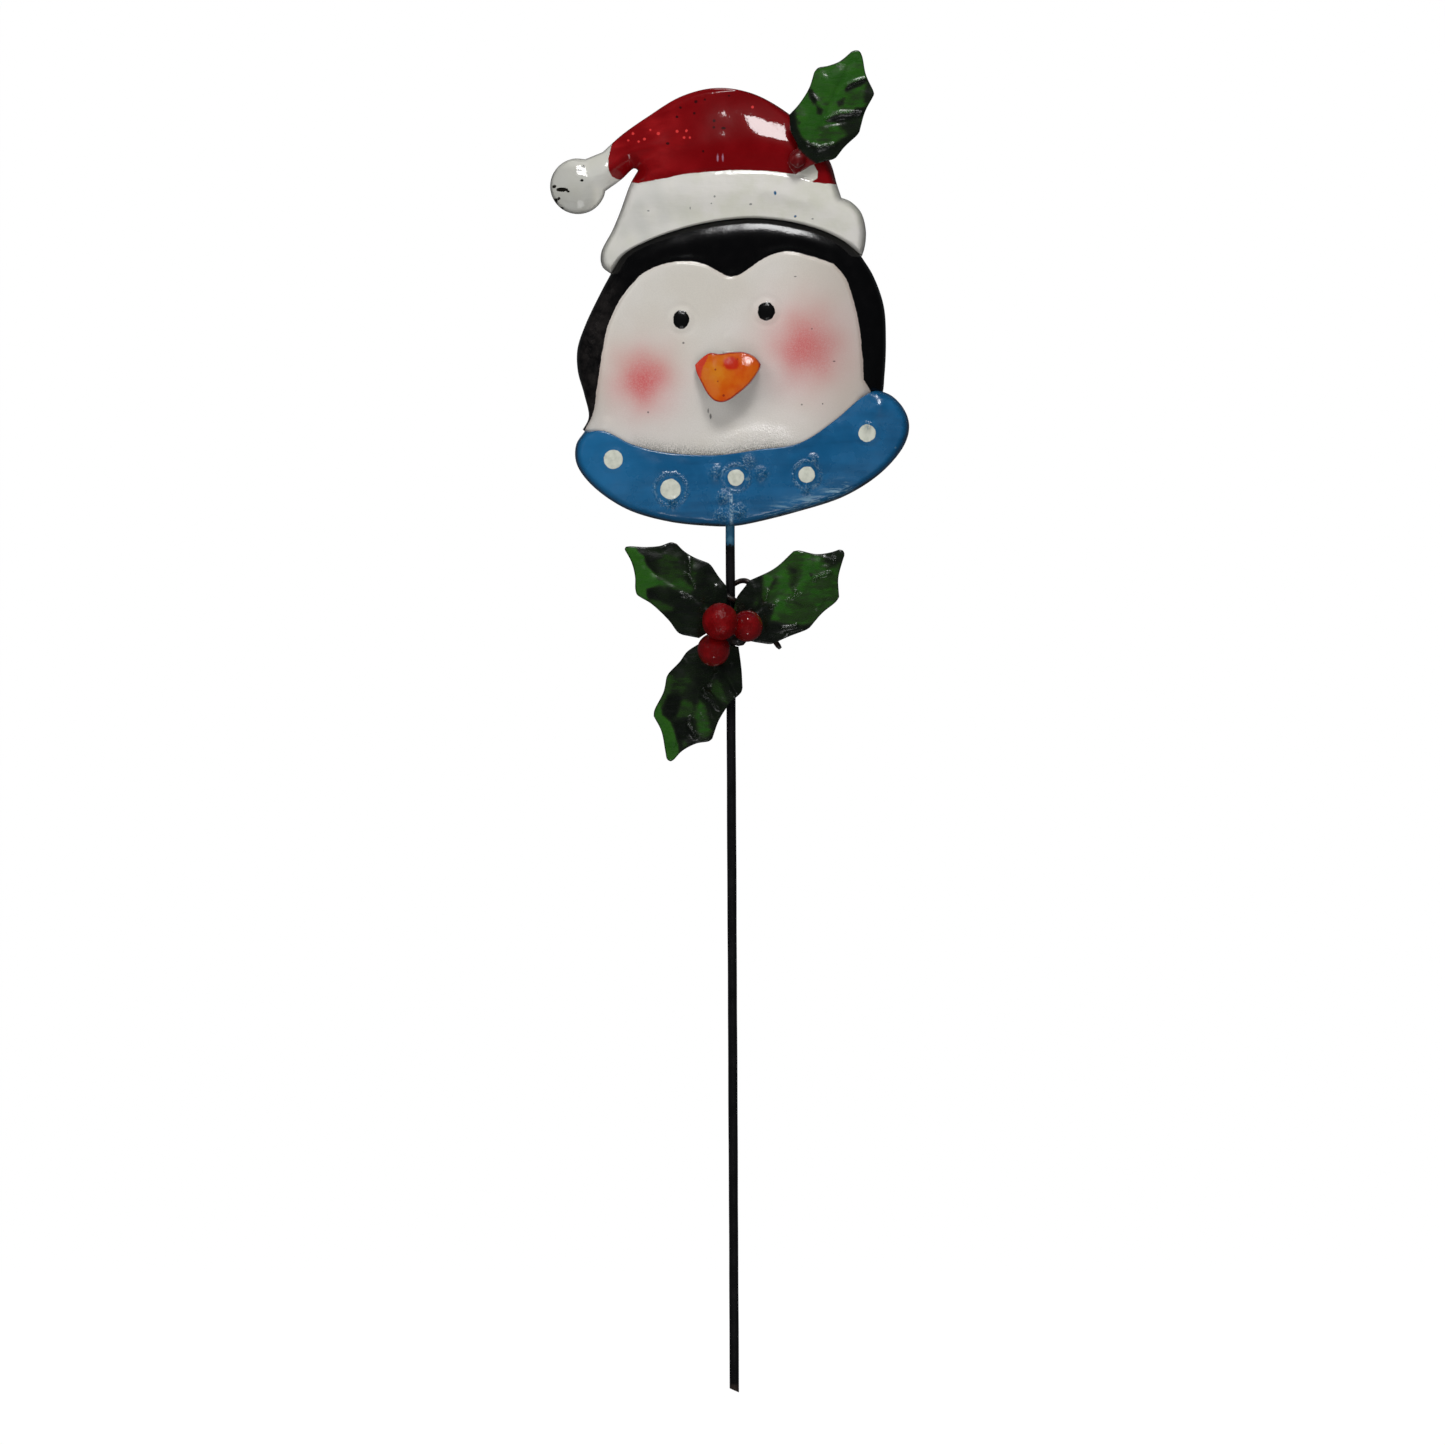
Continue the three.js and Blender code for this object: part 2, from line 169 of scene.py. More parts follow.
LEAF_LOWER = outline(LEAF_STEP, [-18.8, 318.6, -22, 314.3, -26.8, 309.3, -27.7, 307.6], [-29, 301.4,
    -33, 293.4, -33.3, 291], [-30, 284.5, -28.3, 275.5, -27.6, 272.4, -26, 271.5, -24.6, 272.3], [-21, 276,
    -15, 279.1, -9.4, 280.1, -8.1, 281.2], [-5, 289.5, 0, 296.8, 4.4, 301, 5, 303], [4.6, 311, 3.4, 320.6],
    [-4, 322.4, -14.4, 321.6])

EYES = [(-20.6, 461.2, 3.5, 4.0), (16.0, 464.6, 3.7, 4.0)]
DOTS = [(-50, 401.3, 4.1), (-25.5, 388.3, 4.4), (2.6, 393.2, 3.5), (33, 394.3, 3.5), (59, 412, 3.75)]


# ---- shaping helpers ----
def rise(d, width):
    """A quarter round: 0 at the edge, 1 from width inwards."""
    return np.sqrt(1 - (1 - np.clip(d / width, 0, 1)) ** 2)


def smooth(t, lo, hi):
    t = np.clip((t - lo) / (hi - lo), 0, 1)
    return t * t * (3 - 2 * t)


def bell(d, width):
    return np.exp(-(d / width) ** 2)


def hump(dx, dz, width):
    return bell(np.hypot(dx, dz), width)


def wobble(x, z, size, seed):
    """A gentle unevenness between -1 and 1, of about that size, the same on every run."""
    rng = np.random.default_rng(seed)
    total = np.zeros_like(x)
    for _ in range(7):
        angle, phase = rng.uniform(0, 2 * math.pi, 2)
        k = 2 * math.pi / size * rng.uniform(0.6, 1.5)
        total += np.sin(k * (x * math.cos(angle) + z * math.sin(angle)) + phase)
    return total / 4


def dome(d, width):
    return 1 - (1 - np.clip(d / width, 0, 1)) ** 2


def over_head(pts):
    """How far forward a rim stops where it lies over the head."""
    d = inside(HEAD, pts)[0]
    skin = head_depth(pts[:, 0], pts[:, 1], np.maximum(d, 0)) * rise(np.maximum(d, 0), EDGE)
    return np.where(d <= 0, 0, skin + 0.4 * np.clip(d, 0, 1))


def rod_slot(pts):
    """How far forward a rim stops where the rod passes behind it."""
    return np.where(np.abs(pts[:, 0]) < 4.2, ROD_R + 0.8, 0)


def surface(loop, width, rings, grid, fine=(), creases=()):
    """A flat triangle mesh inside an outline, finer along its edge, along creases and in the fine circles."""
    edge = np.roll(loop, -1, 0) - np.roll(loop, 1, 0)
    inward = np.stack([-edge[:, 1], edge[:, 0]], 1) / np.linalg.norm(edge, axis=1)[:, None]
    sets, reach = [], 0.45 * width
    for k in range(1, rings + 1):
        d = width * (1 - math.cos(k / rings * math.pi / 2 * 0.66))
        p = loop + inward * d
        sets.append(p[inside(loop, p)[0] > 0.97 * d - 0.01])
        reach = d
    lo, hi = loop.min(0), loop.max(0)
    x, z = np.meshgrid(np.arange(lo[0], hi[0], grid), np.arange(lo[1], hi[1], grid * 0.866))
    x[1::2] += grid / 2
    p = np.stack([x.ravel(), z.ravel()], 1)
    for cx, cz, r, _ in fine:
        p = p[np.hypot(p[:, 0] - cx, p[:, 1] - cz) > r]
    for line, reach_out, step in creases:
        p = p[to_line(line, p) > reach_out + 0.5 * grid]
        tangent = np.gradient(line, axis=0)
        normal = np.stack([-tangent[:, 1], tangent[:, 0]], 1) / np.linalg.norm(tangent, axis=1)[:, None]
        for off in np.arange(-reach_out, reach_out + 0.01, step):
            row = line + normal * off
            row = row[to_line(line, row) > abs(off) - 0.05 * step]
            sets.append(row[inside(loop, row)[0] > reach + 0.4])
    sets.append(p[inside(loop, p)[0] > reach + 0.4 * grid])
    for cx, cz, r, step in fine:
        g = np.arange(-r, r, step)
        x, z = np.meshgrid(g, g)
        keep = np.hypot(x, z) <= r
        p = np.stack([x[keep] + cx, z[keep] + cz], 1)
        sets.append(p[inside(loop, p)[0] > min(reach, 1) + 0.4 * step])
    pts = np.vstack([loop, *sets])
    out = delaunay_2d_cdt([Vector(p) for p in pts], [], [list(range(len(loop)))], 1, 1e-5)
    flat = np.array([v[:] for v in out[0]])
    return flat, [f for f in out[2]]


def make(name, verts, faces, materials, layers=None):
    mesh = bpy.data.meshes.new(name)
    mesh.from_pydata([tuple(v) for v in np.asarray(verts) * MM], [], faces)
    mesh.polygons.foreach_set("use_smooth", [True] * len(mesh.polygons))
    for key, values in (layers or {}).items():
        mesh.attributes.new(key, "FLOAT", "POINT").data.foreach_set("value", np.asarray(values, np.float32))
    mesh.update()
    obj = bpy.data.objects.new(name, mesh)
    bpy.context.scene.collection.objects.link(obj)
    for m in materials:
        mesh.materials.append(m)
    return obj


def piece(obj, name, body):
    """Puts a finished piece on its body, in place of the node that has its name."""
    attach(obj, body)
    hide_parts(name)


def pressing(name, loop, depth, rim, materials, body, layers, width=EDGE, rings=9, grid=1.25, fine=(),
             creases=(), sheet=SHEET):
    """A pressed sheet. depth(x, z, edge distance) shapes the front, rim(points) is where its edge stops."""
    flat, faces = surface(loop, width, rings, grid, fine, creases)
    d, near = inside(loop, flat)
    d = np.maximum(d, 0)
    d[:len(loop)] = 0
    x, z = flat.T
    back = rim(near)
    height = np.maximum(depth(x, z, d) - back, LIP)
    y = back + height * rise(d, np.clip(0.3 * height, 0.25 * width, width))
    faces = [f if turns_left(flat, f) else f[::-1] for f in faces]
    obj = make(name, np.stack([x, -y, z], 1), faces, materials, {"edge": d, **layers(flat, d)})
    thick = obj.modifiers.new("sheet", "SOLIDIFY")
    thick.thickness, thick.offset, thick.use_even_offset = sheet * MM, -1, True
    thick.thickness_clamp = 0.6
    thick.material_offset = thick.material_offset_rim = len(materials) - 1
    piece(obj, name, body)


def turns_left(p, f):
    a, b, c = p[f[0]], p[f[1]], p[f[2]]
    return (b[0] - a[0]) * (c[1] - a[1]) - (b[1] - a[1]) * (c[0] - a[0]) > 0


# ---- materials ----
def srgb(r, g, b):
    """A colour of 0 to 255 as the linear values that a shader takes."""
    return *(c / 255 / 12.92 if c <= 10 else ((c / 255 + 0.055) / 1.055) ** 2.4 for c in (r, g, b)), 1.0


class Paint:
    """A node material in millimetres, its shader set up as enamel."""

    def __init__(self, name, coat=0.5, coat_roughness=0.08, specular=0.5):
        self.material = bpy.data.materials.new(name)
        self.material.use_nodes = True
        self.tree = self.material.node_tree
        self.shader = self.tree.nodes["Principled BSDF"]
        self.feed(self.shader, {"Coat Weight": coat, "Coat Roughness": coat_roughness,
                                "Specular IOR Level": specular})
        coords = self.node("TexCoord").outputs["Object"]
        self.mm = self.node("VectorMath", {0: coords, "Scale": 1 / MM}, operation="SCALE").outputs[0]
        self.height = None

    def feed(self, node, inputs):
        for socket, value in inputs.items():
            self.put(node.inputs[socket], value)

    def node(self, kind, inputs={}, **props):
        """A node with its inputs fed: sockets by name or number, each with a value or a link."""
        n = self.tree.nodes.new("ShaderNode" + kind)
        for key, value in props.items():
            setattr(n, key, value)
        self.feed(n, inputs)
        return n

    def put(self, socket, value):
        if isinstance(value, bpy.types.NodeSocket):
            self.tree.links.new(value, socket)
        else:
            socket.default_value = value

    def math(self, op, a, b=0.0, c=0.0):
        return self.node("Math", {0: a, 1: b, 2: c}, operation=op).outputs[0]

    def layer(self, name):
        return self.node("Attribute", attribute_name=name).outputs["Fac"]

    def noise(self, size, detail=2.0, roughness=0.5, stretch=None):
        """Noise from 0 to 1 in blotches of size millimetres, drawn out by stretch: (angle, times)."""
        vector = self.mm
        if stretch:
            vector = self.node("Mapping", {"Vector": vector, "Rotation": (0, math.radians(stretch[0]), 0),
                                           "Scale": (1 / stretch[1], 1, 1)}).outputs[0]
        return self.node("TexNoise", {"Vector": vector, "Scale": 1 / size, "Detail": detail,
                                      "Roughness": roughness}).outputs["Fac"]

    def ramp(self, value, lo, hi, to=(0.0, 1.0)):
        return self.node("MapRange", {"Value": value, "From Min": lo, "From Max": hi, "To Min": to[0],
                                      "To Max": to[1]}, interpolation_type="SMOOTHSTEP").outputs["Result"]

    def times(self, a, b):
        return self.math("MULTIPLY", a, b)

    def shifted(self, value, noise, amount):
        """value, moved up or down by as much as amount."""
        return self.math("MULTIPLY_ADD", self.math("SUBTRACT", noise, 0.5), amount * 2, value)

    def ragged(self, value, soft, *noises):
        """1 where value is above 0, with its border shifted by (noise, millimetres) pairs."""
        for source, amount in noises:
            value = self.shifted(value, source, amount)
        return self.ramp(value, -soft, soft)

    def mix(self, amount, a, b, most=None):
        """From a to b, at most so far; a colour is a link or a triple from 0 to 255."""
        a, b = (srgb(*c) if isinstance(c, tuple) else c for c in (a, b))
        amount = self.times(amount, most) if most else amount
        return self.node("Mix", {0: amount, 6: a, 7: b}, data_type="RGBA").outputs[2]

    def spot(self, x, z, rx, rz=None, uneven=0.0, size=2.0):
        """How far inside an ellipse on the front a point is, in millimetres."""
        v = self.node("VectorMath", {0: self.mm, 1: (x, 0, z)}, operation="SUBTRACT").outputs[0]
        v = self.node("VectorMath", {0: v, 1: (1, 0, rx / (rz or rx))}, operation="MULTIPLY").outputs[0]
        length = self.node("VectorMath", {0: v}, operation="LENGTH").outputs["Value"]
        value = self.math("SUBTRACT", rx, length)
        return self.shifted(value, self.noise(size), uneven) if uneven else value

    def spots(self, places, soft=0.12, uneven=0.25, size=1.2):
        """A mask of small spots: (x, z, radius) or (x, z, radius x, radius z)."""
        total = None
        for place in places:
            s = self.spot(*place)
            total = s if total is None else self.math("MAXIMUM", total, s)
        return self.ramp(self.shifted(total, self.noise(size, 3), uneven), -soft, soft)

    def relief(self, height, distance):
        """Adds a bump, in millimetres."""
        part = self.times(height, distance)
        self.height = part if self.height is None else self.math("ADD", self.height, part)

    def grain(self, distance, *noise):
        """Adds a bump of noise."""
        self.relief(self.noise(*noise), distance)

    def done(self, colour, roughness):
        bump = self.node("Bump", {"Distance": MM, "Height": self.height}).outputs["Normal"]
        self.feed(self.shader, {"Base Color": colour, "Roughness": roughness, "Normal": bump,
                                "Coat Normal": bump})
        return self.material


WHITE = (230, 227, 221)
BLACK = (6, 6, 7)


def back_paint():
    p = Paint("back_black", 0.15)
    p.grain(0.05, 0.8, 3)
    p.grain(0.25, 14, 2)
    dust = p.ramp(p.noise(22, 4), 0.45, 0.8, (0, 0.5))
    return p.done(p.mix(dust, (16, 16, 18), (40, 38, 36)), p.ramp(p.noise(9, 3), 0.3, 0.7, (0.34, 0.52)))


def head_paint():
    p = Paint("head_enamel", 0.45, 0.08, 0.3)
    peel, coarse, broad = p.noise(1.1, 2), p.noise(5, 3), p.noise(30, 2)
    face = p.ragged(p.layer("face"), 0.16, (p.noise(2.2, 3), 0.28), (p.noise(9, 1), 0.35))
    white = p.mix(p.ramp(broad, 0.35, 0.7), WHITE, (221, 216, 206))
    white = p.mix(p.ramp(p.noise(0.45, 3, 0.7), 0.3, 0.7, (0, 0.16)), white, (176, 170, 162))
    pink = p.times(p.layer("cheek"), p.ramp(p.noise(0.55, 2), 0.1, 0.75, (0.82, 1.12)))
    white = p.mix(pink, white, (214, 92, 94))
    soot = p.times(p.layer("soot"), p.ramp(p.noise(0.5, 3, 0.7), 0.36, 0.66))
    white = p.mix(soot, white, (92, 96, 88))
    # painted shade: the white darker and warmer towards the face's right side and its bottom
    white = p.mix(p.layer("shade"), white, (160, 146, 136))
    warm = p.ramp(p.math("ADD", p.layer("face"), p.times(p.noise(7), 2.0)), 1.2, 3.0, (0.1, 0.0))
    white = p.mix(warm, white, (214, 176, 158))
    black = p.mix(p.ramp(coarse, 0.4, 0.8, (0, 0.35)), BLACK, (17, 16, 17))
    # the black paler in blotches towards the left side
    black = p.mix(p.times(p.layer("dull"), p.ramp(p.noise(7, 5, 0.7), 0.35, 0.7)), black, (38, 35, 34))
    colour = p.mix(face, black, white)
    eyes = p.math("MAXIMUM", *[p.spot(x, z, rx, rz, 0.45, 1.8) for x, z, rx, rz in EYES])
    colour = p.mix(p.ramp(eyes, -0.12, 0.12), colour, (10, 10, 11))
    fleck = p.spots([(-19.7, 451.2, 0.45), (-56, 441.5, 0.3), (-35, 421.5, 0.4), (45, 443, 0.5, 0.3),
                     (35.5, 457, 0.3), (31, 424.5, 0.35), (40, 424.8, 0.3), (-8.2, 419.6, 0.4, 1.1),
                     (-9.2, 422, 0.3, 0.9), (28.5, 479.5, 0.6, 0.25)])
    colour = p.mix(fleck, colour, (70, 60, 62), 0.75)
    p.relief(peel, 0.03)
    p.relief(p.noise(0.7, 2, 0.6), p.math("MULTIPLY_ADD", p.layer("grit"), 0.5, 0.03))
    p.relief(coarse, 0.05)
    p.relief(p.ramp(eyes, -0.3, 1.4), 0.5)
    p.relief(face, 0.08)
    return p.done(colour, p.math("MULTIPLY_ADD", face, 0.1, 0.2))


def hat_paint():
    p = Paint("hat_enamel", 0.95, 0.04, 0.05)
    red = p.ragged(p.layer("red"), 0.15, (p.noise(2.5, 3), 0.3), (p.noise(10, 1), 0.35))
    broad, streak = p.noise(16, 4, 0.6), p.noise(6, 3, 0.6, (25, 3.5))
    crimson = p.mix(p.ramp(broad, 0.3, 0.72), (114, 2, 7), (128, 5, 12))
    # the red lighter in streaks towards the left
    crimson = p.mix(p.times(p.layer("worn"), p.ramp(streak, 0.35, 0.75, (0.15, 1))), crimson,
                    (166, 26, 30))
    white = p.mix(p.ramp(broad, 0.35, 0.7), WHITE, (219, 218, 205))
    yellow = p.times(p.ramp(p.spot(-64.7, 517.5, 12), 0, 9), p.ramp(p.noise(5, 3), 0.35, 0.65, (0, 0.65)))
    white = p.mix(yellow, white, (214, 208, 176))
    white = p.mix(p.ramp(p.spot(-70, 515.5, 14), 0, 4), white, (190, 189, 180))
    # the brim's white greyer towards the left
    white = p.mix(p.layer("worn"), white, (204, 204, 199), 0.7)
    colour = p.mix(red, white, crimson)
    pale = p.spots([(-41, 541.5, .55), (-36, 539, .6), (-30, 541.3, .7), (-22, 542.2, .6),
                    (-18, 542.4, .55), (-19, 539.5, .55), (-16.5, 539.4, .5), (-33.5, 543, .4),
                    (-38.5, 538, .5), (-43, 538.5, .45), (10.5, 552.5, .6)], 0.2)
    colour = p.mix(pale, colour, (226, 62, 60))
    black = p.spots([(-22, 548.5, .6), (-20.5, 552.5, .55), (-13.8, 555, .7), (-14.5, 550, .55),
                     (-26, 537, .8, .6), (-6, 546.6, .65), (-6.2, 543.8, .6), (-2, 543.4, .9, .6),
                     (-10.8, 533.5, .45), (0.4, 557.5, .4), (-10, 556, .45)], 0.15)
    colour = p.mix(black, colour, (26, 4, 8), 0.85)
    chips = p.spots([(-71.5, 517.4, 2.6, .9), (-74.9, 518.8, .9, .7), (-74.3, 512.4, .7, 1.6),
                     (-72.2, 509.4, 1.4, .6), (-73.0, 513.6, .6), (-64, 525.6, .8, .4), (-63, 521.3, .6),
                     (-62.2, 527.2, .45), (-70.4, 508.2, .7, .5), (-69, 516.6, .8, .4)], 0.12, 0.5, 0.9)
    colour = p.mix(chips, colour, (24, 22, 18))
    scratch = p.spots([(-4.6, 530.6, .35, 1.4), (-2.4, 530.6, .35, 1.4), (26, 528.3, .5, .35)], 0.2)
    colour = p.mix(scratch, colour, (190, 150, 176), 0.6)
    specks = p.spots([(9.5, 510.6, .6, .4), (-6, 514, .45), (28.5, 505.2, .5), (36, 504.2, .5, .3),
                      (-7.4, 511, .3), (-34.5, 508, .5, .3), (-16.5, 509, .25, .5)], 0.15)
    colour = p.mix(specks, colour, (70, 76, 78), 0.7)
    colour = p.mix(p.spots([(20, 515.3, .55, .9), (28.6, 505.4, .5, .35)], 0.2), colour, (40, 96, 140))
    p.grain(0.02, 1.1, 2)
    p.relief(p.noise(4, 3), p.ramp(red, 0, 1, (0.16, 0.04)))
    p.relief(p.noise(3, 3, 0.6, (8, 5)), p.ramp(red, 0, 1, (0.2, 0)))
    p.relief(red, 0.12)
    p.relief(chips, -0.12)
    p.relief(streak, 0.02)
    return p.done(colour, p.ramp(broad, 0.3, 0.7, (0.3, 0.42)))


def scarf_paint():
    p = Paint("scarf_enamel", 0.5, 0.1)
    broad, streak = p.noise(18, 4, 0.6), p.noise(5, 4, 0.6, (-4, 6))
    blue = p.mix(p.ramp(broad, 0.3, 0.7), (19, 88, 134), (26, 102, 152))
    blue = p.mix(p.ramp(streak, 0.42, 0.7, (0, 0.5)), blue, (13, 70, 110))
    # painted shade: a thin dark band along the scarf's lower edge
    rim = p.ragged(p.math("SUBTRACT", 0.7, p.layer("edge")), 0.5, (p.noise(6, 3), 0.8))
    low = p.times(rim, p.layer("low"))
    blue = p.mix(low, blue, (10, 24, 38))
    # painted light: the blue lighter towards the left end, partly the paint and partly light falling from the
    # left
    blue = p.mix(p.layer("fresh"), blue, (34, 112, 164), 0.6)
    # painted reflection: pale streaks along the lower right edge
    reflection_streaks = p.ramp(p.noise(1.2, 4, 0.7, (22, 7)), 0.48, 0.62)
    blue = p.mix(p.times(p.layer("scuff"), reflection_streaks), blue, (140, 180, 202), 0.9)
    # painted highlight: a pale line down the ridge over the rod
    bare = p.times(p.layer("ridge"), p.ramp(p.noise(1.0, 3), 0.42, 0.6))
    blue = p.mix(bare, blue, (168, 196, 212))
    # painted highlight: pale blue glints on the rough patches
    painted_glints = p.times(p.layer("spark"), p.ramp(p.noise(0.9, 3), 0.5, 0.62))
    blue = p.mix(painted_glints, blue, (150, 188, 208), 0.5)
    dots = None
    for i, (x, z, r) in enumerate(DOTS):
        d = p.spot(x, z, r, None, 0.35, 2.6)
        dots = d if dots is None else p.math("MAXIMUM", dots, d)
    dot = p.ramp(dots, -0.14, 0.14)
    colour = p.mix(dot, blue, p.mix(p.ramp(p.noise(2.5, 3), 0.4, 0.8), (222, 224, 210), (196, 200, 186)))
    nick = p.spots([(7.6, 392.6, 1.1, .7), (59.2, 414.6, .4, 1.0), (71.2, 405.8, .35)], 0.3, 0.4)
    colour = p.mix(nick, colour, (120, 150, 165), 0.55)
    p.grain(0.04, 1.1, 2)
    p.grain(0.08, 5, 3)
    p.relief(p.noise(0.8, 2, 0.6), p.times(p.layer("spark"), 1.3))
    p.relief(p.noise(2.2, 2, 0.6), p.times(p.layer("spark"), 1.2))
    p.relief(dot, 0.14)
    p.relief(streak, 0.06)
    return p.done(colour, p.ramp(broad, 0.3, 0.7, (0.2, 0.34)))


def beak_paint():
    p = Paint("beak_enamel", 0.6, 0.06)
    blotch = p.noise(5, 4, 0.6)
    colour = p.mix(p.ramp(blotch, 0.35, 0.65), (208, 76, 12), (214, 98, 14))
    colour = p.mix(p.times(p.layer("yellow"), p.ramp(blotch, 0.2, 0.6, (0.5, 1))), colour,
                   (214, 126, 16))
    edge = p.ragged(p.math("SUBTRACT", 0.7, p.layer("edge")), 0.3, (p.noise(2, 3), 0.4))
    colour = p.mix(edge, colour, (170, 44, 18))
    corner = p.ragged(p.layer("corner"), 0.2, (p.noise(1.3, 4, 0.6), 0.9))
    colour = p.mix(corner, colour, (206, 60, 38))
    dimple = p.spot(0.8, 442.2, 3.5, 3.0, 0.9, 2.2)
    colour = p.mix(p.ramp(dimple, -0.8, 1.0), colour, (196, 40, 12))
    specks = p.spots([(-6, 439.6, .4), (-5, 434.5, .35), (-2.5, 428.4, .5), (3.5, 444, .3)], 0.2)
    colour = p.mix(specks, colour, (150, 40, 14))
    p.relief(p.noise(0.9, 3), p.math("MULTIPLY_ADD", p.layer("grain"), 0.16, 0.02))
    p.grain(0.1, 4, 2)
    return p.done(colour, p.ramp(blotch, 0.3, 0.7, (0.14, 0.26)))


def leaf_paint(name, along):
    """Greens and blacks brushed on wet; along is the angle of the strokes."""
    p = Paint(name, 0.5, 0.08)
    fine, broad = p.noise(1.6, 4, 0.65, (along, 3.5)), p.noise(6, 4, 0.6, (along, 1.8))
    tone = p.math("ADD", p.layer("tone"), p.math("MULTIPLY_ADD", broad, 0.7, -0.35))
    tone = p.math("ADD", tone, p.math("MULTIPLY_ADD", fine, 0.8, -0.4))
    bright = p.mix(p.ramp(broad, 0.35, 0.65), (34, 82, 19), (43, 93, 23))
    colour = p.mix(p.ramp(tone, 0.06, 0.38), bright, (31, 55, 19))
    colour = p.mix(p.ramp(tone, 0.36, 0.66), colour, (19, 28, 15))
    colour = p.mix(p.ramp(tone, 0.66, 1.0), colour, (8, 13, 8))
    bare = p.ragged(p.math("SUBTRACT", 0.35, p.layer("edge")), 0.25, (p.noise(3, 3), 0.4))
    colour = p.mix(bare, colour, (10, 14, 10), 0.8)
    colour = p.mix(p.layer("red_foot"), colour, (104, 3, 7))
    p.grain(0.04, 1.2, 3)
    p.relief(p.noise(0.6, 2, 0.6), p.times(p.layer("spark"), 0.6))
    p.relief(fine, 0.10)
    p.grain(0.10, 4, 2)
    return p.done(colour, p.ramp(fine, 0.3, 0.7, (0.2, 0.4)))


def berry_paint(name, rough, coat, specular, lumps):
    p = Paint(name, coat, 0.05, specular)
    blotch = p.noise(4, 4, 0.6)
    colour = p.mix(p.ramp(blotch, 0.35, 0.7), (108, 5, 8), (134, 11, 16))
    colour = p.mix(p.ramp(p.noise(2, 3), 0.58, 0.75, (0, 0.5)), colour, (78, 2, 5))
    p.relief(p.noise(1.1, 3, 0.6), lumps)
    p.grain(0.3, 4, 2)
    return p.done(colour, p.ramp(blotch, 0.3, 0.7, (rough - 0.05, rough + 0.08)))


def rod_paint():
    p = Paint("rod_enamel", 0.5, 0.1)
    z = p.node("SeparateXYZ", {0: p.mm}).outputs["Z"]
    height = p.math("SUBTRACT", z, 364.5)
    blue = p.ragged(height, 0.8, (p.noise(2.2, 3), 2.0))
    black = p.mix(p.ramp(p.noise(12, 4), 0.45, 0.75, (0, 0.6)), (14, 14, 15), (31, 30, 32))
    worn = p.ramp(p.noise(2.5, 4, 0.7, (0, 0.3)), 0.68, 0.8)
    black = p.mix(worn, black, (86, 82, 78), 0.35)
    foot = p.ragged(p.math("SUBTRACT", 3.2, z), 1.2, (p.noise(1.5, 3), 1.6))
    black = p.mix(foot, black, (58, 48, 42), 0.6)
    colour = p.mix(blue, black, p.mix(p.ramp(p.noise(3, 3), 0.4, 0.65), (46, 108, 144), (78, 138, 168)))
    p.grain(0.05, 1.3, 3)
    p.grain(0.15, 6, 2)
    return p.done(colour, p.ramp(p.noise(7, 3), 0.3, 0.7, (0.22, 0.4)))


def wire_paint(name, base, light):
    p = Paint(name, 0.25, 0.2)
    grime = p.noise(2.5, 4, 0.65)
    p.grain(0.08, 0.8, 3)
    p.relief(grime, 0.15)
    return p.done(p.mix(p.ramp(grime, 0.35, 0.75), base, light), p.ramp(grime, 0.3, 0.7, (0.3, 0.55)))


# ---- the pressings ----
BACK = back_paint()


def head_depth(x, z, d):
    pts = np.stack([x, z], 1)
    f = inside(FACE, pts)[0]
    scarf = inside(SCARF, pts)[0]
    hat = inside(HAT, pts)[0]
    above = np.maximum(-scarf, 0)
    # the hood's roll round its edge, and the face standing forward of it with a hollow along its border
    lift = np.maximum(dome(d, 13), (1 - smooth(above, 4, 16)) * smooth(f, -1, 8))
    depth = HEAD_FRONT - 4.6 + 5.4 * lift - 1.5 * bell(np.minimum(f, 0), 3.4) + 1.1 * rise(f, 2.6)
    chin = bell(x - 12, 24)          # hollow under the cheeks, full again over the scarf
    depth += 0.8 * smooth(f, 3, 40) - chin * (3.6 * bell(above - 18, 11) - 2.0 * bell(above, 6.5))
    depth -= 6 * smooth(scarf, 0.3, 4) + 4 * smooth(hat, 0.3, 4)      # sunk where the others lie over it
    for ex, ez, rx, rz in EYES:
        r = np.hypot(x - ex, z - ez)
        depth += 0.7 * bell(r, 4.0) - 0.35 * bell(r - 6.2, 1.2)
    depth += 0.5 * hump(x + 0.5, z - 453.6, 1.3)            # a pimple above the beak
    return depth + 0.22 * wobble(x, z, 30, 3) + 0.04 * wobble(x, z, 10, 4)


def head_layers(flat, d):
    x, z = flat.T
    f = inside(FACE, flat)[0]
    s = -inside(SCARF, flat)[0]
    cheek = np.zeros(len(x))
    for cx, cz, strong, wide in ((-37, 435, 0.87, 12.4), (34, 449, 0.84, 16.4)):
        r = np.hypot(x - cx, z - cz) + 1.2 * wobble(x, z, 18, 21)
        cheek = np.maximum(cheek, strong * (0.92 * bell(r, wide) + 0.08 * bell(r, 2 * wide)))
    soot = bell(np.maximum(s, 0), 3.6) * smooth(x, -46, -34) * smooth(-x, -34, -18) * 0.95
    grit = bell(np.maximum(s - 4, 0), 5) * bell(x - 6, 20)
    # shade is painted shade, growing towards the face's right side and its bottom
    return {"face": f, "cheek": cheek, "soot": soot, "grit": grit, "dull": smooth(-x, 42, 56),
            "shade": 0.4 * smooth(x, 24, 56) + 0.12 * (1 - smooth(z, 405, 440))}


RED_LINE = [-42, 520.3, -38, 520, -30, 521.5, -20, 523.5, -10, 524.7, 0, 525.2, 10, 525.3, 20, 524.5,
    28.5, 523.3]
RED_1 = pairs([-50, 537.3, -51.5, 531, -51.5, 526, -50, 522.8, -47.5, 521.7, -45.5, 521.5,
    -43, 523] + RED_LINE + [31, 524.6, 34.5, 526.6, 37, 540, 60, 540, 40, 580, -40, 580])
RED_2 = pairs([35.5, 519.9, 38.3, 521.6, 38.4, 524.6, 36.4, 528, 36, 541, 56, 541, 54, 518.6, 42, 519.2])


BRIM_LINE = spline(pairs([-48, 521] + RED_LINE + [34, 522, 42, 518.6, 56, 512.6]), 1.0)


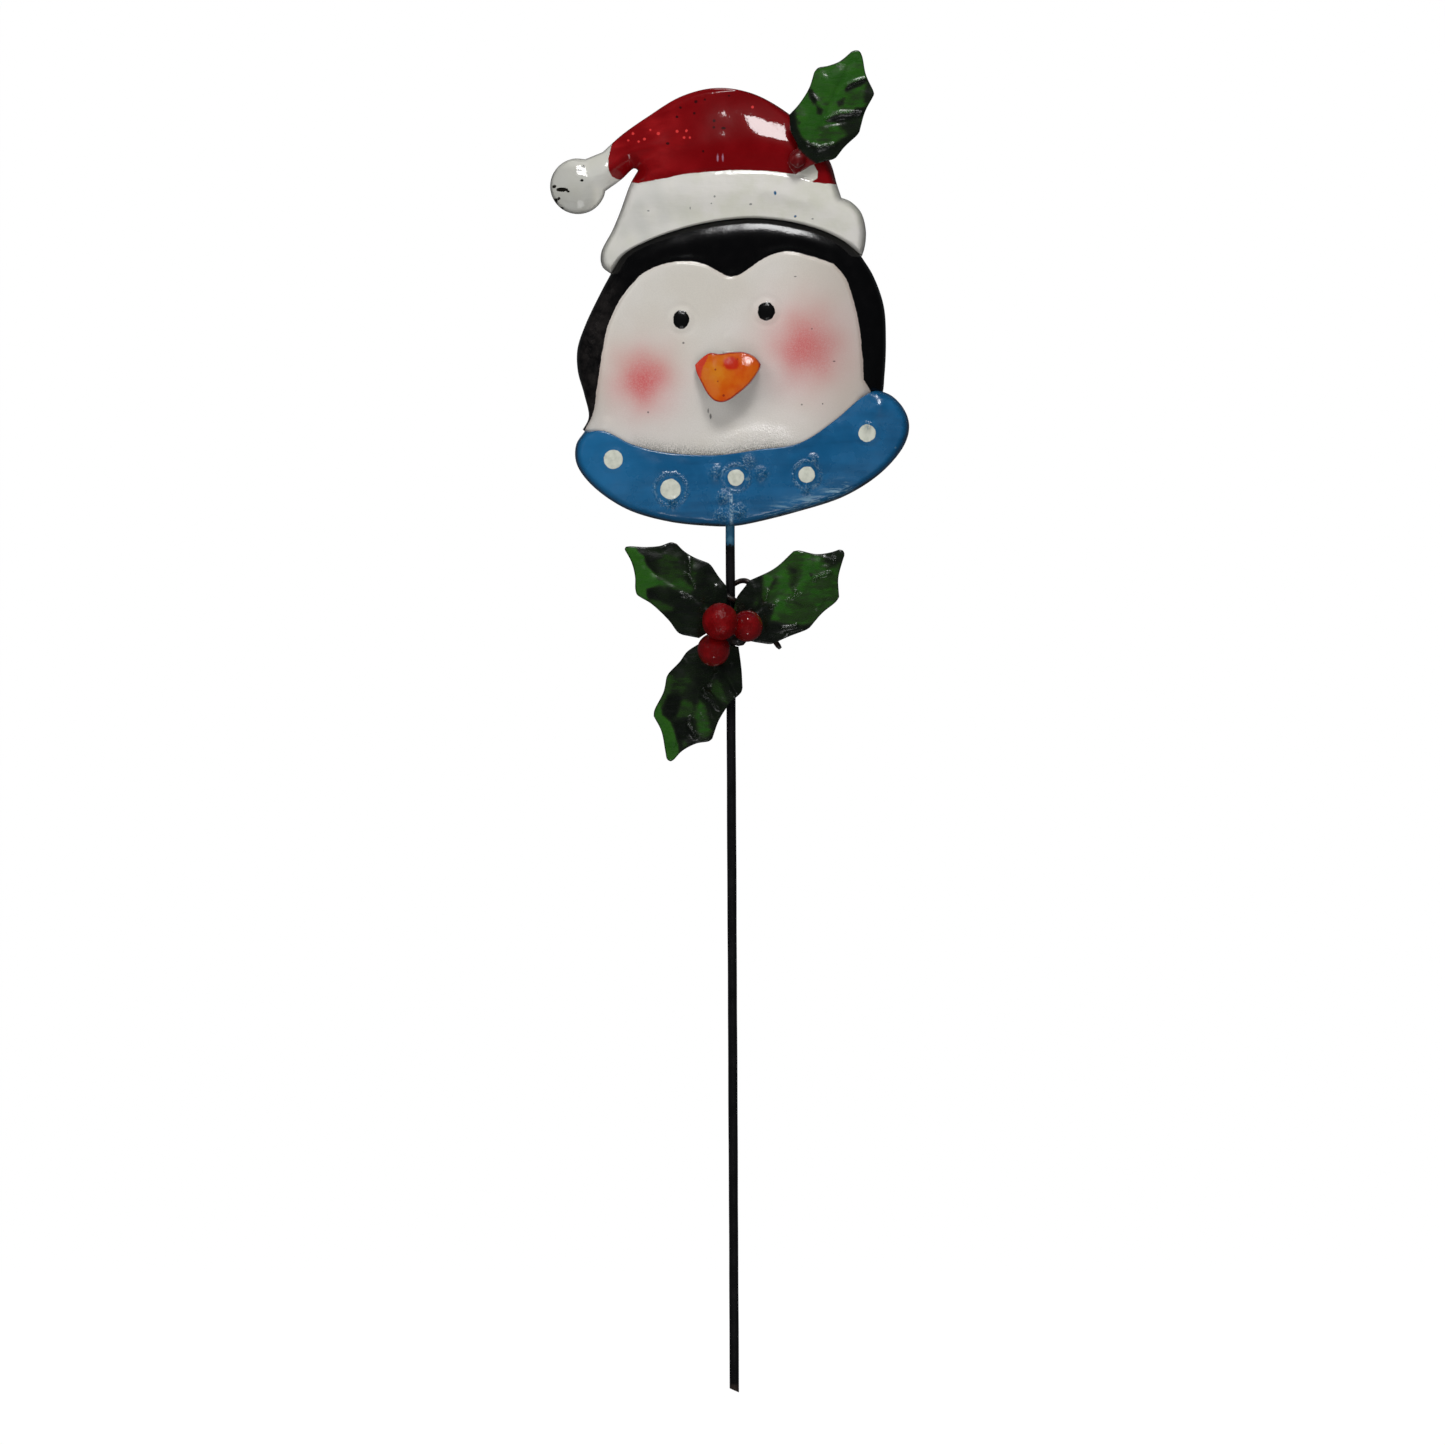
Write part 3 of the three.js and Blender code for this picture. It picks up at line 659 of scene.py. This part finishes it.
def hat_depth(x, z, d):
    pts = np.stack([x, z], 1)
    line = to_line(BRIM_LINE, pts)
    body = smooth(x, -54, -46)       # 0 on the pom-pom, 1 on the cap
    crown = HAT_FRONT - 9.2 + (6.8 + 12.4 * dome(d, 32)) * body + 4.6 * dome(d, 12) * (1 - body)
    crown -= (10.9 * smooth(54 - x, 0, 63) - 2.6 * smooth(-x, 20, 60)) * body
    # the brim is a roll of its own under the seam, dying out to the left
    seam = HAT_FRONT - 0.6 - 1.6 * smooth(-x, 4, 44)
    brim = seam + 1.2 * dome(line, 8) - 1.8 * smooth(line, 7, 21)
    first = 8                        # the brim's line is followed from this point on
    low = z < np.interp(x, [-80, -41, *BRIM_LINE[first:, 0]], [490, 521, *BRIM_LINE[first:, 1]])
    away = np.maximum(smooth(line, 0, 18), smooth(-x, 30, 44))
    depth = np.where(low, brim, seam + (crown - seam) * away)
    depth -= 0.4 * bell(line, 0.9) * smooth(x, -44, -38)
    depth += 0.7 * bell(to_line([16, 516.4, 24, 514.6, 33, 511.6], pts), 2.6)
    # the tail is folded over the cap, and the sheet is nipped in at its neck
    fold = to_line([-39.5, 526.5, -35, 531, -29, 536, -22, 539], pts)
    depth -= 0.8 * bell(fold, 3.0) * smooth(-x, 16, 30)
    depth += 0.4 * bell(to_line([-45, 527, -38, 533, -30, 538], pts), 3.2)
    neck = to_line([-50, 538, -51.5, 530, -48, 521], pts)
    depth -= 0.3 * bell(neck, 3.4)
    return depth + 0.2 * wobble(x, z, 26, 7) + 0.04 * wobble(x, z, 9, 8)


def hat_layers(flat, d):
    x, z = flat.T
    red = np.maximum(inside(RED_1, flat)[0], inside(RED_2, flat)[0])
    # worn is a mask that grows towards the left, unevenly
    worn = smooth(-x, 4, 34) * (0.6 + 0.4 * wobble(x, z, 14, 31))
    return {"red": red, "worn": np.clip(worn, 0, 1)}


# small bumps beside the dots: x, z, height, width
DENTS = [(-6.5, 393.8, 1.2, 2.3), (13.2, 393.6, 1.3, 2.4), (35.5, 399.1, 1.2, 2.2), (-3.2, 383.6, 0.9, 1.7),
    (59, 413.2, 0.8, 1.6), (64.5, 423.5, 1.5, 3.2), (32.5, 388.6, 0.9, 1.7), (-24.7, 383.4, 0.9, 1.7),
    (8, 398, 0.7, 1.6), (3.8, 378.4, 1.1, 2.0), (-3, 376.8, 0.9, 1.8)]


# where the enamel is rough and painted glints lie on it: x, z, width
SPARKS = [(-6, 395.5, 2.2), (13.4, 395.2, 2.4), (35.5, 400.7, 1.8), (-3, 385, 2.4), (3.5, 379, 3.4),
    (-3, 377.5, 3), (32.5, 388, 1.8), (-24.7, 382.6, 2.2), (59, 415, 1.4), (8, 400, 2.6)]


def scarf_depth(x, z, d):
    depth = SCARF_FRONT - 1.2 + 1.9 * dome(d, 14)
    for (dx, dz, r), ring in zip(DOTS, (0.2, 0.5, 0.9, 0.9, 0.3)):    # a dot and the hollow ring round it
        q = np.hypot(x - dx, z - dz)
        depth += 0.35 * bell(q, r * 1.05) - bell(q - r - 2.2, 1.3) * ring
    for bx, bz, high, wide in DENTS:
        depth += high * hump(x - bx, z - bz, wide)
    # the rod shows through the sheet as a ridge between two hollows
    depth += 0.9 * bell(x - 0.4, 1.5) * smooth(-z, -391, -380)
    depth -= 0.5 * bell(np.abs(x - 0.4) - 4, 2.0) * smooth(-z, -388, -378)
    return depth + 0.3 * wobble(x, z, 24, 11) + 0.08 * wobble(x, z, 8, 12)


def scarf_layers(flat, d):
    x, z = flat.T
    # pale streaks of painted reflection along the lower right edge
    scuff = bell(to_line([20, 377.6, 36, 382.4, 50, 388.2], flat), 3.6)
    spark = np.zeros(len(x))
    for sx, sz, wide in SPARKS:
        spark = np.maximum(spark, hump(x - sx, z - sz, wide))
    for dx, dz, r in DOTS[1:4]:
        spark = np.maximum(spark, 0.6 * bell(np.hypot(x - dx, z - dz) - r - 2.4, 0.8))
    # low marks the lower edge, where shade is painted
    # ridge carries a painted highlight down the ridge over the rod
    return {"low": smooth(-z + 0.12 * np.abs(x), -392, -384), "scuff": scuff, "spark": spark,
            "fresh": smooth(-x, 22, 56),
            "ridge": bell(x - 0.5, 0.55) * smooth(-z, -390, -386)}


fine_eyes = [(x, z, 8.5, 0.6) for x, z, _, _ in EYES]
fine_dots = [(x, z, 7.5, 0.6) for x, z, _ in DOTS] + [(0.4, 380, 7.5, 0.6)]
pressing("head_shell", HEAD, head_depth, rod_slot, [head_paint(), BACK], "stake",
         head_layers, fine=fine_eyes, creases=[(FACE, 2.8, 0.7)])
pressing("hat_shell", HAT, hat_depth, over_head, [hat_paint(), BACK], "stake", hat_layers,
         width=3.5, creases=[(BRIM_LINE, 2.4, 0.6)])
pressing("scarf_shell", SCARF, scarf_depth,
         lambda p: np.maximum(over_head(p), np.where(p[:, 1] < 380, rod_slot(p), 0)), [scarf_paint(), BACK],
         "stake", scarf_layers, width=2.4, fine=fine_dots)


def beak_back(pts):
    return HEAD_FRONT + 3.0 + np.maximum(0, 446 - pts[:, 1]) * 0.24


def beak_depth(x, z, d):
    depth = beak_back(np.stack([x, z], 1)) + 2.6 + 1.6 * dome(d, 8) - 2.2 * smooth(12 - x, 0, 26)
    depth -= 0.2 * hump(x - 0.8, z - 442, 3.6)
    return depth + 0.1 * wobble(x, z, 8, 41)


def beak_layers(flat, d):
    x, z = flat.T
    strip = to_line([-16, 436.6, -15.2, 441, -11.6, 448.6], flat)
    return {"yellow": bell(np.hypot(x + 5.5, (z - 438.5) * 0.9), 6.5), "corner": 3.7 - strip,
            "grain": hump(x - 7.5, z - 441, 5)}


pressing("beak", BEAK, beak_depth, beak_back, [beak_paint(), BACK], "stake", beak_layers,
         width=2.0, rings=6, grid=0.8, sheet=0.6)


# ---- leaves ----
def leaf(name, loop, base, tip, body, back, ground, patches, folds, glints=(), foot=None):
    """A pressed holly leaf. ground is the tone of its paint, 0 bright green to 1 black; patches are (tone,
    softness, outline) over it; folds are (height, half width, line) in the sheet; glints are lines where the
    paint is rough and glitters; foot outlines the red paint at its base."""
    base, tip = np.array(base, float), np.array(tip, float)
    axis = (tip - base) / np.linalg.norm(tip - base)
    across = np.array([-axis[1], axis[0]])
    length = np.linalg.norm(tip - base)

    def depth(x, z, d):
        pts = np.stack([x, z], 1)
        u, v = (pts - base) @ axis, (pts - base) @ across      # along and across the leaf's middle vein
        h = back + 1.2 + 0.9 * smooth(d, 0, 6)
        h -= 0.5 * bell(v + 0.6 * np.sin(u / 9), 1.2) * smooth(length - u, 2, 10)
        for height, wide, line in folds:
            h += height * bell(to_line(line, pts), wide)
        return h + 0.22 * wobble(x, z, 12, len(name)) + 0.05 * wobble(x, z, 5, len(name) + 50)

    def layers(flat, d):
        tone = np.full(len(flat), ground)
        for value, soft, patch in patches:
            deep = inside(pairs(patch), flat)[0]
            tone += (value - tone) * smooth(deep, -1.6 * soft, 1.6 * soft)
        red = np.zeros(len(flat))
        if foot:
            red = smooth(inside(pairs(foot), flat)[0], -0.3, 0.3)
        spark = np.zeros(len(flat))
        for line in glints:
            spark = np.maximum(spark, bell(to_line(line, flat), 0.75))
        return {"tone": tone, "red_foot": red, "spark": spark}

    angle = math.degrees(math.atan2(axis[1], axis[0]))
    paint = leaf_paint(name + "_enamel", angle)
    pressing(name, loop, depth, lambda p: np.full(len(p), back), [paint, BACK], body, layers,
             width=0.9, rings=3, grid=0.7, sheet=LEAF_SHEET)


leaf("hat_leaf", HAT_LEAF, (30, 526), (56.2, 576.2), "stake", HAT_FRONT + 2.6, 0.08,
     [(0.32, 2, [38, 545, 44, 544.5, 47, 541, 44, 536, 38, 537]),
      (0.3, 2, [50, 557, 58, 560, 58, 554, 50, 551]),
      (0.85, 0.7, [24, 551, 28.6, 551, 29.5, 544, 32, 538.5, 38, 535, 45, 536, 50, 539, 57.5, 545, 56, 538,
         45, 526, 24, 526]),
      (0.68, 1.2, [46.5, 546, 57, 549, 57.5, 543, 52, 540, 48, 542]),
      (0.95, 0.5, [41.6, 546, 46, 548.4, 53, 549.6, 55, 551.6, 59.8, 552, 57, 547.2, 47, 545.4]),
      (0.95, 0.4, [50.2, 559.8, 52.5, 562, 58, 564.2, 60.6, 563.8, 57, 561.2, 50.6, 558.6]),
      (0.62, 0.8, [60, 563, 63, 558, 60, 552.5, 58.6, 552.5, 58.4, 558]),
      (0.7, 0.5, [46.6, 554.4, 50, 556, 49.5, 553.2, 47.5, 552.2]),
      (0.85, 0.5, [34.2, 560.4, 36.3, 559.4, 38.2, 556, 37.6, 553.4, 36, 553.8, 34.6, 557]),
      (0.8, 0.5, [38, 552.6, 40.6, 551, 40, 548.4, 38, 549]),
      (0.7, 0.3, [29.9, 545.6, 30.9, 545.5, 30.5, 544.7])],
     [(0.5, 0.9, [41.8, 547.4, 48, 549.6, 57, 549.2]), (-0.5, 1.0, [42, 544.6, 50, 546]), (0.5, 0.7,
      [51, 561.6, 54.5, 563.4, 59, 564.4]), (0.45, 0.9, [34, 536.8, 39, 534.2, 46, 536]), (0.4, 0.9,
      [36.5, 557, 41.8, 550]), (0.4, 0.6, [57, 549, 56.5, 546])],
     [[42, 547, 48, 549.4, 56.6, 549.6], [34, 536.6, 39, 534.4, 45, 536], [51.4, 561, 58, 563.8]],
     foot=[22, 537, 28.6, 535.2, 31, 533.2, 33.2, 531, 35.6, 529, 37.6, 527.8, 33, 518, 20, 518])
leaf("holly_leaf_left", LEAF_LEFT, (-1, 331), (-45.4, 362.8), "sprig", LEAF_BACK, 0.84,
     [(0.52, 1.4, [-31, 361.5, -22, 361, -18, 352, -21, 349, -32, 350]),
      (0.28, 1.0, [-33, 351, -26, 350.6, -20, 349.4, -15, 346, -17, 343.2, -25, 346.2, -33, 346.4]),
      (0.0, 0.5, [-47, 366, -41, 366, -39.6, 361.8, -37.2, 360, -36, 356, -31.8, 351.4, -31.4, 347.4,
         -35.6, 345.6, -36, 343, -35, 340, -42, 340, -46, 358]),
      (0.36, 0.7, [-36, 341, -31, 340.6, -24, 338.2, -25, 336.2, -30, 335]),
      (0.95, 0.8, [-35.6, 345, -31, 344.6, -30.6, 341.4, -35, 342.6]),
      (0.97, 0.8, [-27, 346, -22, 344.6, -21, 341.4, -26, 341]),
      (0.5, 0.8, [-18.4, 361, -15.2, 359.6, -13.8, 355, -15, 346.6, -17.4, 347])],
     [(0.55, 0.9, [-17.8, 358.5, -17.4, 350, -15.4, 347]), (-0.4, 1.1, [-19.6, 358, -19.4, 350]), (0.6, 1.0,
      [-6.2, 346.4, -6.9, 341, -7.6, 336]), (0.5, 2.0, [-3.6, 346, -4.4, 337]), (-0.5, 1.6, [-10, 352,
      -10.6, 342, -11, 334]), (0.5, 0.7, [-20.8, 343.2, -19.6, 342.6]), (0.3, 1.0, [-30, 363,
      -28.4, 363.8]), (-0.4, 1.4, [-37, 358, -33, 352])],
     [[-17.4, 357.6, -17.2, 350.4, -15.2, 346.8], [-19.6, 352.4, -17.6, 351.4], [-20.6, 343.4, -17, 341.6]])
leaf("holly_leaf_right", LEAF_RIGHT, (2, 331), (48.9, 360.9), "sprig", LEAF_BACK, 0.3,
     [(0.13, 0.9, [17.6, 333, 20.4, 333, 23, 338, 27.5, 343.6, 24.8, 349, 24.2, 356, 21.4, 357, 20.4, 351,
         21, 346, 19.2, 341]),
      (0.1, 0.9, [31.4, 362, 35, 361, 35.2, 351, 31, 346.6, 28.6, 344.6, 30.4, 350, 31.6, 355]),
      (0.05, 0.7, [14.6, 351.5, 18, 351, 17.4, 347, 15.4, 345.6]),
      (0.05, 0.7, [36, 360, 38.4, 359.4, 38, 355.6, 36.4, 354.4]),
      (0.5, 0.9, [25.2, 355, 28.4, 354.6, 29, 349.5, 26.6, 345, 25.4, 347, 26.4, 351]),
      (0.6, 0.5, [19.4, 350.4, 20.2, 349.6, 17.8, 345.4, 17, 346.2]),
      (0.5, 0.8, [27.5, 339.6, 36, 339.2, 36.5, 337, 30, 337.2]),
      (0.66, 0.9, [36.6, 361, 40, 359, 41.6, 353.6, 44.6, 355, 49, 358, 50, 363, 45, 363]),
      (0.88, 0.7, [2, 352, 13.6, 353, 13.4, 342, 14.4, 339.6, 19, 338.8, 17.6, 334.6, 17, 331.6, 22, 330.4,
         31, 329.6, 36, 330.4, 34, 324, 17, 318, 2, 318]),
      (0.6, 0.6, [9.4, 338, 10.8, 336.6, 12.4, 340, 12.2, 343, 10.4, 342]),
      (0.9, 0.4, [33.8, 352, 35.4, 352, 34.8, 350.4])],
     [(0.7, 0.8, [36, 349.6, 38.5, 351.2, 42.5, 352]), (0.5, 0.7, [27, 341.4, 28, 344]), (0.5, 0.8,
      [15.8, 344.6, 15.2, 341]), (0.6, 0.7, [17.2, 338, 19.6, 339.4]), (0.6, 0.8, [22.6, 328.6, 26, 328.6,
      28.4, 330]), (0.5, 0.7, [24, 326.4, 31, 328.4]), (0.4, 0.8, [37, 337, 39.4, 340.4]), (0.4, 0.8,
      [40, 358.6, 44.6, 357.2]), (-0.5, 1.4, [12.4, 348, 13.4, 336, 14.4, 326])],
     [[35.6, 349.2, 38.6, 351, 43, 352.6], [43.6, 361.2, 44.6, 357.6], [26.8, 341.6, 28, 344.4],
      [16.2, 344.4, 15, 340.6], [17.4, 337.4, 20, 339.4], [22.4, 328.4, 28.4, 329.4], [24, 340.6, 30, 343]])
leaf("holly_leaf_lower", LEAF_LOWER, (-3, 326), (-26.8, 271.2), "sprig", LEAF_BACK, 0.8,
     [(0.5, 1.2, [-25, 308, -19, 309, -15, 304, -20, 301, -26, 301]),
      (0.42, 0.9, [-21, 298.6, -16.6, 296.6, -15.4, 293, -18, 290.4, -24.4, 289.8, -23, 294]),
      (0.3, 0.8, [-32.5, 296, -30, 294.6, -26.6, 300, -24.6, 306, -27, 310, -30, 303]),
      (0.26, 0.9, [-13.6, 297.8, -11, 296, -9.6, 289, -8.4, 284, -10, 281.2, -13, 281, -14.8, 284,
         -14.6, 288, -16, 291.6]),
      (0.4, 0.9, [-9, 306, -5.6, 307, -3, 302, -1.6, 296.4, -5, 296.8, -8.2, 301]),
      (0.97, 0.7, [-27.4, 299, -23, 301, -21.4, 298, -24, 290.4, -27, 291, -28.8, 294.6]),
      (0.94, 0.6, [-24.4, 288, -19.6, 289.4, -16.4, 283, -15.2, 279.6, -21, 278.6, -23.4, 282]),
      (0.45, 0.6, [-21.2, 280.6, -19, 280.6, -18.6, 278, -20.8, 277]),
      (0.0, 0.45, [-36, 292, -32, 296.6, -30.4, 295.4, -29.4, 291.6, -26, 288.6, -24.4, 285, -22.6, 277,
         -22.6, 272, -27, 269, -31, 276])],
     [(1.0, 0.9, [-12.2, 302.4, -8.8, 300.2, -5, 294.6]), (-0.5, 1.1, [-9.6, 303.4, -4, 297.5]), (0.55, 0.6,
      [-12.8, 299.4, -10.4, 297.6, -8, 291.6, -5.8, 288]), (0.6, 0.7, [-16.4, 290, -15.2, 285]), (0.5, 0.6,
      [-18.6, 290.5, -18.8, 287.4, -15.4, 281.4]), (0.35, 0.7, [-7.2, 309, -9, 304.4]), (1.2, 1.1, [-4, 312,
      0.2, 305, 2.6, 300.6]), (0.6, 2.4, [0.6, 312, 3, 305]), (0.35, 0.8, [-20.5, 315.4, -19.4, 313.8])],
     [[-12, 302.6, -11.4, 299.6, -8.6, 297.4, -5.4, 294.2], [-12, 302.6, -9, 305, -6.6, 309.6],
      [-17.8, 290.6, -18.2, 286.6, -15, 281.8], [-13, 291.6, -12, 290]])


# ---- balls, wire, rod, welds ----
def ball(name, centre, radii, material, body, bumps=0.03, seed=1, fine=4, drips=()):
    """A lumpy ball; centre is x, z and depth. drips are (x, z) on the unit ball, a height and a width."""
    bm = bmesh.new()
    bmesh.ops.create_icosphere(bm, subdivisions=fine, radius=1)
    v = np.array([p.co[:] for p in bm.verts])
    faces = [[p.index for p in f.verts] for f in bm.faces]
    bm.free()
    swell = 1 + bumps * wobble(v[:, 0] * 3 + v[:, 1], v[:, 2] * 3 - v[:, 1] * 2, 4, seed)
    swell += bumps * 0.5 * wobble(v[:, 0] * 7, v[:, 2] * 7 + v[:, 1] * 5, 5, seed + 1)
    for dx, dz, high, wide in drips:
        n = np.array([dx, -math.sqrt(1 - dx * dx - dz * dz), dz])
        swell += high * bell(np.linalg.norm(v - n, axis=1), wide)
    rx, rz, rd = radii
    verts = v * swell[:, None] * np.array([rx, rd, rz]) + np.array([centre[0], -centre[2], centre[1]])
    obj = make(name, verts, faces, [material])
    piece(obj, name, body)


BERRY = berry_paint("berry_enamel", 0.16, 1.0, 0.5, 0.05)
WORN_BERRY = berry_paint("berry_enamel_worn", 0.4, 0.35, 0.1, 0.3)
ball("berry_large", (-4.5, 331.4, 20.6), (7.7, 8.0, 7.6), WORN_BERRY, "sprig", 0.012, 5, 5,
     [(0.55, 0.15, 0.03, 0.16), (0.45, -0.3, 0.03, 0.2), (0.3, -0.55, 0.03, 0.22)])
ball("berry_right", (7.1, 329.5, 12.8), (6.8, 6.8, 6.8), BERRY, "sprig", 0.007, 8, 5,
     [(0.02, 0.44, 0.03, 0.12), (0.0, -0.5, 0.05, 0.2)])
ball("berry_lower", (-7.3, 319.3, 13.0), (7.1, 7.1, 7.0), BERRY, "sprig", 0.012, 12, 5,
     [(0.0, -0.42, 0.04, 0.16), (-0.45, 0.3, 0.03, 0.25), (0.4, 0.1, 0.03, 0.3)])
WELD = wire_paint("weld_dark", (20, 17, 16), (44, 36, 30))
WIRE = wire_paint("wire_dark", (18, 13, 12), (46, 30, 24))
ball("hat_leaf_rivet", (29.7, 529.6, HAT_FRONT + 5.0), (3.4, 3.4, 2.0),
     wire_paint("rivet_red", (92, 2, 6), (112, 6, 10)), "stake", 0.06, 14)
ball("beak_weld", (0, 447.0, HEAD_FRONT + 1.9), (3.0, 0.7, 0.7),
     wire_paint("beak_weld_white", (206, 202, 196), (222, 218, 210)), "stake", 0.08, 15)
ball("sprig_weld", (3.0, 323.4, 5.4), (3.6, 2.4, 1.8), WELD, "sprig", 0.08, 16)
for side, sign in (("left", -1), ("right", 1)):
    ball("hat_weld_" + side, (26 * sign, 504.4 if sign < 0 else 509, 5.5), (2.6, 1.4, 1.4), WELD, "stake",
         0.08, 17 + sign)
    ball("scarf_weld_" + side, (30 * sign, 396.4 if sign < 0 else 399.2, 6), (2.6, 1.2, 1.4), WELD, "stake",
         0.08, 21 + sign)


def bands(rows, sides):
    """The faces between the rings of a tube, ring after ring."""
    ring = [(k, (k + 1) % sides) for k in range(sides)]
    return [[i + a, i + b, i + sides + b, i + sides + a]
            for i in range(0, (rows - 1) * sides, sides) for a, b in ring]


def tube(name, path, radius, sides, material, body, end=None):
    """A tube along a path of [x, y, z]; radius(i, angle, share of the length) is in millimetres."""
    path = np.asarray(path, float)
    tangent = np.gradient(path, axis=0)
    tangent /= np.linalg.norm(tangent, axis=1)[:, None]
    side = np.cross(tangent[0], [0.3, 1, 0.2])
    verts, n = [], len(path)
    for i in range(n):
        side = side - tangent[i] * (side @ tangent[i])
        side /= np.linalg.norm(side)
        up = np.cross(tangent[i], side)
        for k in range(sides):
            a = 2 * math.pi * k / sides
            r = radius(path[i], a, i / (n - 1))
            verts.append(path[i] + r * (math.cos(a) * side + math.sin(a) * up))
    faces = bands(n, sides)
    faces += [list(range(sides))[::-1], list(range((n - 1) * sides, n * sides))]
    if end:
        verts = [end(v) for v in verts]
    obj = make(name, verts, faces, [material])
    piece(obj, name, body)


def turned_wire():
    r = ROD_R + 0.35 + 1
    path = [[21.4, 1.2, 319.8], [19.3, 1, 322.6], [15.6, 0.8, 330], [12.6, 0.8, 339], [10, 1, 345.6],
            [7.4, 1.6, 348.6], [4.6, 2.5, 349]]
    for deg in range(50, 361, 31):
        a = math.radians(deg)
        path.append([r * math.cos(a), r * math.sin(a), 348.9 - (deg - 20) / 340 * 10])
    path += [[3.2, -2.4, 337.2], [2.6, -4.6, 334], [2.4, -5.2, 330], [2.9, -5.2, 325.9]]
    return np.vstack([path[:1], spline(path, 0.55)])


def wire_radius(p, a, t):
    pinch = 1 - 0.35 * max(0, 1 - t / 0.02)
    return 1.15 * pinch * (1 + 0.03 * math.sin(3 * a + 40 * t) + 0.03 * math.sin(60 * t))


def rod_radius(p, a, t):
    return ROD_R * (1 + 0.012 * math.sin(2 * a + p[2] / 17) + 0.010 * math.sin(p[2] / 6.3 + 3 * a))


def sheared(v):
    """The rod's lower end is cut off at a slant, its corner a little rounded."""
    if v[2] < 3:
        cut = 0.45 * (ROD_R - v[0])
        v = np.array([v[0], v[1], cut + v[2] * (3 - cut) / 3])
    return v


rings = np.concatenate([[0, 0.25, 0.8, 1.6, 2.4], np.arange(3, ROD_TOP - 0.5, 2.0), [ROD_TOP - 0.3, ROD_TOP]])
tube("sprig_wire", turned_wire(), wire_radius, 14, WIRE, "sprig")
tube("stake_rod", [[0, 0, z] for z in rings], rod_radius, 32, rod_paint(), "stake", sheared)


def rod_weld(name, z0, z1, seed):
    """A fillet of weld across the front of the rod: a lumpy half ring."""
    path = [[(ROD_R + 1.25) * math.cos(a), -(ROD_R + 1.25) * math.sin(a), (z0 + z1) / 2]
            for a in np.linspace(0.35, math.pi - 0.35, 22)]
    half = (z1 - z0) / 2

    def radius(p, a, t):
        lump = 1 + 0.1 * math.sin(9 * t + seed) + 0.07 * math.sin(23 * t + 2 * a)
        return min(0.88, half) * lump * math.sqrt(max(0.05, 1 - (2 * t - 1) ** 8))

    tube(name, path, radius, 12, WELD, "stake")


rod_weld("rod_weld_scarf", 374.2, 376.6, 1)
rod_weld("rod_weld_head", 399, 401.4, 4)


# ---- floor, light, camera ----
def studio():
    scene = bpy.context.scene
    scene.view_settings.view_transform = "Standard"
    white = bpy.data.materials.new("studio_white")
    white.use_nodes = True
    shader = white.node_tree.nodes["Principled BSDF"]
    for socket, value in (("Base Color", (0.02, 0.02, 0.02, 1)), ("Roughness", 1), ("Specular IOR Level", 0),
                          ("Emission Color", (1, 1, 1, 1)), ("Emission Strength", 1)):
        shader.inputs[socket].default_value = value
    # a round dish, in metres: a flat disc, a curve and a wall that goes all the way round
    flat, curve, wall = 9.5, 2.0, 8.0
    profile = [(0.02, 0), (flat, 0)]
    profile += [(flat + curve * math.sin(a), curve - curve * math.cos(a))
                for a in np.linspace(0.15, math.pi / 2, 10)]
    profile += [(flat + curve, wall)]
    around = np.linspace(0, 2 * math.pi, 72, endpoint=False)
    verts = [(r / MM * math.cos(a), r / MM * math.sin(a), z / MM - 2) for r, z in profile for a in around]
    faces = bands(len(profile), len(around)) + [list(range(len(around)))]
    floor = make("studio_floor", verts, faces, [white])
    floor.visible_glossy = floor.visible_diffuse = floor.visible_shadow = False

    world = bpy.data.worlds.new("studio_world")
    scene.world = world
    world.use_nodes = True
    sky = world.node_tree.nodes["Background"].inputs
    sky["Color"].default_value, sky["Strength"].default_value = (0.9, 0.95, 1, 1), 0.03

    aim = Vector((0, 0, 0.44))
    for name, place, size, power, mirrored in (
            ("key", (0.15, -1.1, 1.77), (0.5, 0.5), 14, True),
            ("low", (0.12, -1.1, -0.9), (0.5, 0.5), 2.5, True),
            ("under", (0, -0.9, -0.5), (1.4, 1.4), 3.5, False),
            ("fill_left", (-1.3, -1.5, 1.1), (1.2, 1.2), 12.8, False),
            ("fill_front", (0.5, -1.8, 0.1), (1.4, 1.0), 5.5, False),
            ("fill_back", (0.4, 1.6, 1.0), (1.4, 1.4), 20, False)):
        light = bpy.data.lights.new(name, "AREA")
        light.shape, light.size, light.size_y, light.energy = "RECTANGLE", size[0], size[1], power
        obj = bpy.data.objects.new(name, light)
        scene.collection.objects.link(obj)
        obj.location = place
        obj.visible_glossy = mirrored
        obj.rotation_euler = (aim - Vector(place)).to_track_quat("-Z", "Y").to_euler()


def camera():
    away, across = 9.0, 0.62135          # metres to the object, and the frame's width there
    left, high, lean = 0.0037, 0.2881, 0.278      # where it stands, in metres, and its roll in degrees
    data = bpy.data.cameras.new("camera")
    data.sensor_width = 36
    data.lens = data.sensor_width * away / across
    data.clip_end = 60
    obj = bpy.data.objects.new("camera", data)
    bpy.context.scene.collection.objects.link(obj)
    level = Matrix.Rotation(math.pi / 2, 4, "X")
    obj.matrix_world = (Matrix.Translation((-left, -away, high)) @ level
                        @ Matrix.Rotation(math.radians(-lean), 4, "Z"))
    bpy.context.scene.camera = obj


studio()
camera()
